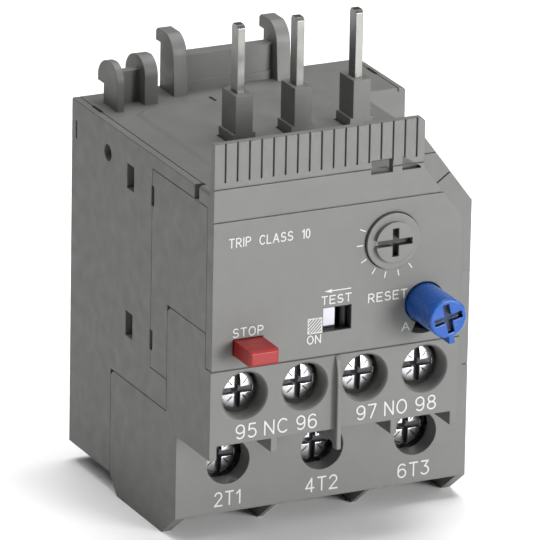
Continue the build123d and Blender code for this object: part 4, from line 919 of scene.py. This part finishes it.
@dataclass
class Marks:
    """Thin raised marks on one flat front face, drawn as strokes of even width.

    Each stroke stands step_mm higher than the one before it, over a few levels, so that crossing strokes
    share no face.
    """

    name: str
    depth_mm: float
    width_mm: float
    proud_mm: float = 0.03
    buried_mm: float = 0.03
    step_mm: float = 0.002
    levels: int = 5
    end_turns: tuple[float, ...] = (80.0, 55.0, 28.0)
    loop_points: int = 4
    gap: float = 0.3
    word_gap: float = 0.75
    vertices: list[np.ndarray] = field(default_factory=list)
    faces: list[tuple[int, ...]] = field(default_factory=list)

    def stroke(self, path: np.ndarray) -> None:
        """Carries a flat bar along a path, with rounded ends where the path is open.

        At each point the bar's two sides stand half its width to the left and right of the path's
        direction, and the rows past an open end narrow as a half circle does.

        Args:
            path: Points in x and height, in millimetres.
        """
        half = self.width_mm / 2
        closed = len(path) >= self.loop_points and bool(np.allclose(path[0], path[-1]))
        if closed:
            path = path[:-1]
            ahead = np.roll(path, -1, axis=0) - np.roll(path, 1, axis=0)
            spread = np.full(len(path), half)
        else:
            ahead = np.gradient(path, axis=0)
            turn = np.radians(self.end_turns)
            start, end = ahead[0] / np.linalg.norm(ahead[0]), ahead[-1] / np.linalg.norm(ahead[-1])
            before = path[0] - start * (half * np.sin(turn))[:, None]
            after = path[-1] + end * (half * np.sin(turn[::-1]))[:, None]
            count = len(path)
            path = np.vstack((before, path, after))
            ahead = np.vstack((np.tile(start, (len(turn), 1)), ahead, np.tile(end, (len(turn), 1))))
            spread = np.concatenate((half * np.cos(turn), np.full(count, half), half * np.cos(turn[::-1])))
        ahead = ahead / np.linalg.norm(ahead, axis=1)[:, None]
        side = np.column_stack((-ahead[:, 1], ahead[:, 0])) * spread[:, None]
        across = np.array([1.0, 1.0, -1.0, -1.0])
        proud = self.proud_mm + self.step_mm * (len(self.vertices) % self.levels)
        level = np.array([self.buried_mm, -proud, -proud, self.buried_mm])
        flat = path[:, None, :] + side[:, None, :] * across[None, :, None]
        depth = np.broadcast_to(self.depth_mm + level, flat.shape[:2])
        grid = np.stack((flat[..., 0], depth, flat[..., 1]), axis=-1).reshape(-1, 3)
        base = sum(len(v) for v in self.vertices)
        rows, sides = len(path), len(across)
        last = rows if closed else rows - 1
        index = base + np.arange(rows * sides).reshape(rows, sides)
        here = index[np.arange(last)]
        there = index[(np.arange(last) + 1) % rows]
        for j in range(sides):
            k = (j + 1) % sides
            quads = np.column_stack((here[:, j], here[:, k], there[:, k], there[:, j]))
            self.faces.extend(map(tuple, quads.tolist()))
        if not closed:
            self.faces.extend((tuple(index[0, ::-1].tolist()), tuple(index[-1].tolist())))
        self.vertices.append(grid)

    def write(self, text: str, left: float, right: float, foot: float, cap: float) -> None:
        """Writes a text so that it fills the width between two places.

        Args:
            text: Characters and blanks.
            left: Left end, from the left side of the relay.
            right: Right end.
            foot: Height of the base line.
            cap: Height of a capital letter.
        """
        table = glyphs()
        places: list[tuple[float, str]] = []
        reach = 0.0
        for character in text:
            if character == " ":
                reach += self.word_gap - self.gap
                continue
            places.append((reach, character))
            reach += table[character][0] + self.gap
        scale = (right - left) / (reach - self.gap)
        for start, character in places:
            for path in table[character][1]:
                self.stroke(np.column_stack((left + (start + path[:, 0]) * scale, foot + path[:, 1] * cap)))

    def patch(self, corners: np.ndarray) -> None:
        """Lays a flat filled shape, a prism between the buried and the proud level.

        Args:
            corners: Outline in x and height, in millimetres, each corner once.
        """
        base = sum(len(v) for v in self.vertices)
        count = len(corners)
        levels = self.depth_mm + np.array([-self.proud_mm, self.buried_mm])
        sheet = np.broadcast_to(corners, (2, count, 2))
        depth = np.broadcast_to(levels[:, None], (2, count))
        self.vertices.append(np.stack((sheet[..., 0], depth, sheet[..., 1]), axis=-1).reshape(-1, 3))
        front = base + np.arange(count)
        after = np.roll(front, -1)
        self.faces.extend((tuple(front.tolist()), tuple((front[::-1] + count).tolist())))
        self.faces.extend(map(tuple, np.column_stack((front, front + count, after + count, after)).tolist()))

    def finish(self) -> Piece:
        """Puts the strokes in one mesh that rides on the housing.

        Returns:
            The object with all marks of this face.
        """
        points = np.vstack(self.vertices)
        mesh = bpy.data.meshes.new(self.name)
        mesh.from_pydata(front_place(*points.T).tolist(), [], self.faces)
        shape = bmesh.new()
        shape.from_mesh(mesh)
        bmesh.ops.recalc_face_normals(shape, faces=shape.faces)
        shape.to_mesh(mesh)
        shape.free()
        mesh.materials.append(MARKING.material())
        piece = placed(self.name, mesh)
        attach(piece, "relay_base")
        LOG.info("marks %s: %d faces", self.name, len(self.faces))
        return piece


@dataclass
class PanelMarks:
    """Words, arrow, hatched field and current scale on the panel."""

    words: tuple[tuple[str, float, float, float, float], ...] = (
        ("TRIP", 2.4, 5.6, 46.57, 1.25),
        ("CLASS", 7.0, 11.95, 46.5, 1.25),
        ("10", 13.45, 14.55, 46.5, 1.25),
        ("STOP", 3.2, 7.7, 33.52, 1.2),
        ("TEST", 16.6, 21.05, 36.42, 1.13),
        ("RESET", 23.75, 29.6, 35.75, 1.2),
        ("ON", 14.5, 16.5, 30.95, 1.15),
        ("A", 29.0, 30.1, 30.9, 1.15),
    )
    word_width: float = 0.165
    scale_width: float = 0.16
    legend_width: float = 0.14
    dial_centre: tuple[float, float] = (27.2, 44.37)
    scale_radii: tuple[float, float] = (4.55, 5.35)
    scale_turns: tuple[float, ...] = (156.0, 182.0, 209.5, 236.0, 258.4, 282.0, 305.3)
    arrow: tuple[float, float, float] = (16.95, 21.0, 38.27)
    arrow_head: tuple[float, float] = (1.15, 0.27)
    field_sides: tuple[float, float] = (14.55, 16.65)
    field_heights: tuple[float, float] = (32.45, 34.55)
    hatch_pitch: float = 0.5

    def build(self) -> list[Piece]:
        """Builds the marks of the panel and returns them."""
        words = Marks("marks_panel_words", 0.0, self.word_width)
        for text, left, right, foot, cap in self.words:
            words.write(text, left, right, foot, cap)
        return [words.finish(), self.scale(), self.legend()]

    def scale(self) -> Piece:
        """Draws the seven ticks round the dial, each a short radial stroke."""
        marks = Marks("marks_current_scale", 0.0, self.scale_width)
        for turn in np.radians(self.scale_turns):
            ray = np.array([np.cos(turn), np.sin(turn)])
            marks.stroke(np.array(self.dial_centre) + np.outer(self.scale_radii, ray))
        return marks.finish()

    def legend(self) -> Piece:
        """Draws the arrow over the window and the hatched field beside it."""
        marks = Marks("marks_test_legend", 0.0, self.legend_width)
        tip, end, level = self.arrow
        length, rise = self.arrow_head
        marks.stroke(line((tip + length, level), (end, level)))
        marks.patch(line((tip, level), (tip + length, level + rise), (tip + length, level - rise)))
        (left, right), (foot, top) = self.field_sides, self.field_heights
        for edge in legs((left, foot), (left, top), (right, top), (right, foot), (left, foot)):
            marks.stroke(edge)
        width, height = right - left, top - foot
        for shift in np.arange(-height + self.hatch_pitch, width, self.hatch_pitch):
            start = max(0.0, shift)
            end = min(width, shift + height)
            marks.stroke(line((left + start, foot + start - shift), (left + end, foot + end - shift)))
        return marks.finish()


@dataclass
class TerminalMarks:
    """Standard terminal numbers under the screws: each text with its left and right end and its foot."""

    contact_depth: float = 0.3
    contact_width: float = 0.21
    contact_numbers: tuple[tuple[str, float, float, float], ...] = (
        ("95", 4.05, 7.05, 18.5),
        ("NC", 8.4, 11.75, 18.5),
        ("96", 13.3, 16.25, 18.5),
        ("97", 22.5, 25.4, 18.6),
        ("NO", 26.8, 30.1, 18.65),
        ("98", 31.6, 34.6, 18.6),
    )
    main_depth: float = 11.0
    main_width: float = 0.22
    main_numbers: tuple[tuple[str, float, float, float], ...] = (
        ("2T1", 6.05, 9.9, 4.45),
        ("4T2", 20.1, 24.95, 4.45),
        ("6T3", 34.5, 39.25, 4.45),
    )
    cap: float = 1.95

    def build(self) -> list[Piece]:
        """Builds the numbers of both terminal rows and returns them."""
        contact = Marks("marks_contact_numbers", self.contact_depth, self.contact_width)
        main_row = Marks("marks_main_numbers", self.main_depth, self.main_width)
        for marks, numbers in ((contact, self.contact_numbers), (main_row, self.main_numbers)):
            for text, left, right, foot in numbers:
                marks.write(text, left, right, foot, self.cap)
        return [contact.finish(), main_row.finish()]


class Side(Enum):
    """Side of the relay that a lamp stands on."""

    LOW = "low"
    TOP = "top"
    LEFT = "left"
    RIGHT = "right"


@dataclass(frozen=True)
class Lamp:
    """Square soft lamp: its middle and edge length in metres and its power in watts."""

    place: tuple[float, float, float]
    size: float
    power: float


@dataclass
class Studio:
    """Pale floor, soft lamps, even surroundings and the camera, whose angles are in degrees."""

    middle: Vector = field(default_factory=lambda: Vector((0.0, 0.0, 0.032)))
    surroundings: float = 0.08
    floor_size: float = 3.0
    floor_points: int = 5
    azimuth: float = 25.8886
    elevation: float = 19.5361
    roll: float = 1.0315
    distance_mm: float = 1140.12
    focus_mm: tuple[float, float, float] = (0.0, 23.0, 56.39)
    shift_mm: tuple[float, float] = (2.841, 21.901)
    lens_mm: float = 547.085
    sensor_mm: float = 36.0
    clip_ends: tuple[float, float] = (0.05, 20.0)
    lamps: dict[Side, Lamp] = field(
        default_factory=lambda: {
            Side.LOW: Lamp((0.5, -1.05, 0.22), 0.5, 20.0),
            Side.TOP: Lamp((0.2, 0.15, 1.3), 1.0, 20.0),
            Side.LEFT: Lamp((-0.55, 0.1, 1.2), 0.8, 5.5),
            Side.RIGHT: Lamp((1.1, -0.3, 0.5), 0.5, 3.0),
        }
    )

    def build(self) -> None:
        """Builds floor, surroundings, lamps and camera."""
        self.lay_floor()
        self.light_surroundings()
        for side, lamp in self.lamps.items():
            self.hang_lamp(side, lamp)
        self.set_camera()

    def lay_floor(self) -> None:
        """Lays a flat square grid at the height of the relay's feet."""
        ends = np.linspace(-self.floor_size / 2, self.floor_size / 2, self.floor_points)
        across, along = np.meshgrid(ends, ends, indexing="ij")
        grid = np.column_stack((across.ravel(), along.ravel(), np.zeros(across.size)))
        index = np.arange(across.size).reshape(across.shape)
        corners = (index[:-1, :-1], index[1:, :-1], index[1:, 1:], index[:-1, 1:])
        quads = np.stack(corners, axis=-1).reshape(-1, len(corners))
        mesh = bpy.data.meshes.new("floor")
        mesh.from_pydata(grid.tolist(), [], quads.tolist())
        mesh.materials.append(PAPER.material())
        floor = placed("floor", mesh)

    def light_surroundings(self) -> None:
        """Fills the room with even white light."""
        world = bpy.data.worlds.new("studio_room")
        world.use_nodes = True
        sky = world.node_tree.nodes["Background"]
        sky.inputs["Color"].default_value = (1.0, 1.0, 1.0, 1.0)
        sky.inputs["Strength"].default_value = self.surroundings
        bpy.context.scene.world = world

    def hang_lamp(self, side: Side, lamp: Lamp) -> None:
        """Hangs a square soft lamp that faces the relay.

        Args:
            side: Side it stands on, for its name.
            lamp: Its place, size and power.
        """
        light = bpy.data.lights.new(f"lamp_{side.value}", "AREA")
        light.shape = "SQUARE"
        light.size = lamp.size
        light.energy = lamp.power
        stand = placed(light.name, light)
        stand.location = lamp.place
        stand.rotation_euler = (self.middle - Vector(lamp.place)).to_track_quat("-Z", "Y").to_euler()

    def set_camera(self) -> None:
        """Places the camera at the photograph's azimuth, elevation, roll and distance."""
        az, el, roll = np.radians((self.azimuth, self.elevation, self.roll))
        back = np.array((-np.sin(az) * np.cos(el), -np.cos(az) * np.cos(el), np.sin(el)))
        level = np.array((np.cos(az), -np.sin(az), 0.0))
        upright = np.cross(back, level)
        right = level * np.cos(roll) + upright * np.sin(roll)
        up = -level * np.sin(roll) + upright * np.cos(roll)
        panel = np.array((0.0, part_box("front_cover")[0][1] / MM, 0.0))
        focus = panel + np.array(self.focus_mm)
        place = focus + self.distance_mm * back - self.shift_mm[0] * right - self.shift_mm[1] * up
        turn = Matrix(np.column_stack((right, up, back)).tolist()).to_4x4()
        lens = bpy.data.cameras.new("camera")
        lens.lens = self.lens_mm
        lens.sensor_width = self.sensor_mm
        lens.clip_start, lens.clip_end = self.clip_ends
        camera = placed("camera", lens)
        camera.matrix_world = Matrix.Translation(Vector((place * MM).tolist())) @ turn
        bpy.context.scene.camera = camera


def main() -> None:
    """Dresses the relay, adds its pieces and marks and sets up the studio."""
    logging.basicConfig(level=logging.INFO, format="%(name)s: %(message)s")
    bpy.context.scene.view_settings.view_transform = "Standard"
    Frame().dress()
    groups = (
        ScrewRow("contact_screw", count=4, shank_mm=1.75, raised_mm=1.3),
        ScrewRow("main_screw", count=3, shank_mm=2.0, raised_mm=0.3),
        ContactDivider(),
        CoverJointShadow(),
        TestWindow(),
        PanelMarks(),
        TerminalMarks(),
    )
    for group in groups:
        for piece in group.build():
            LOG.info("built %s", piece.name)
    Studio().build()


if __name__ == "__main__":
    main()
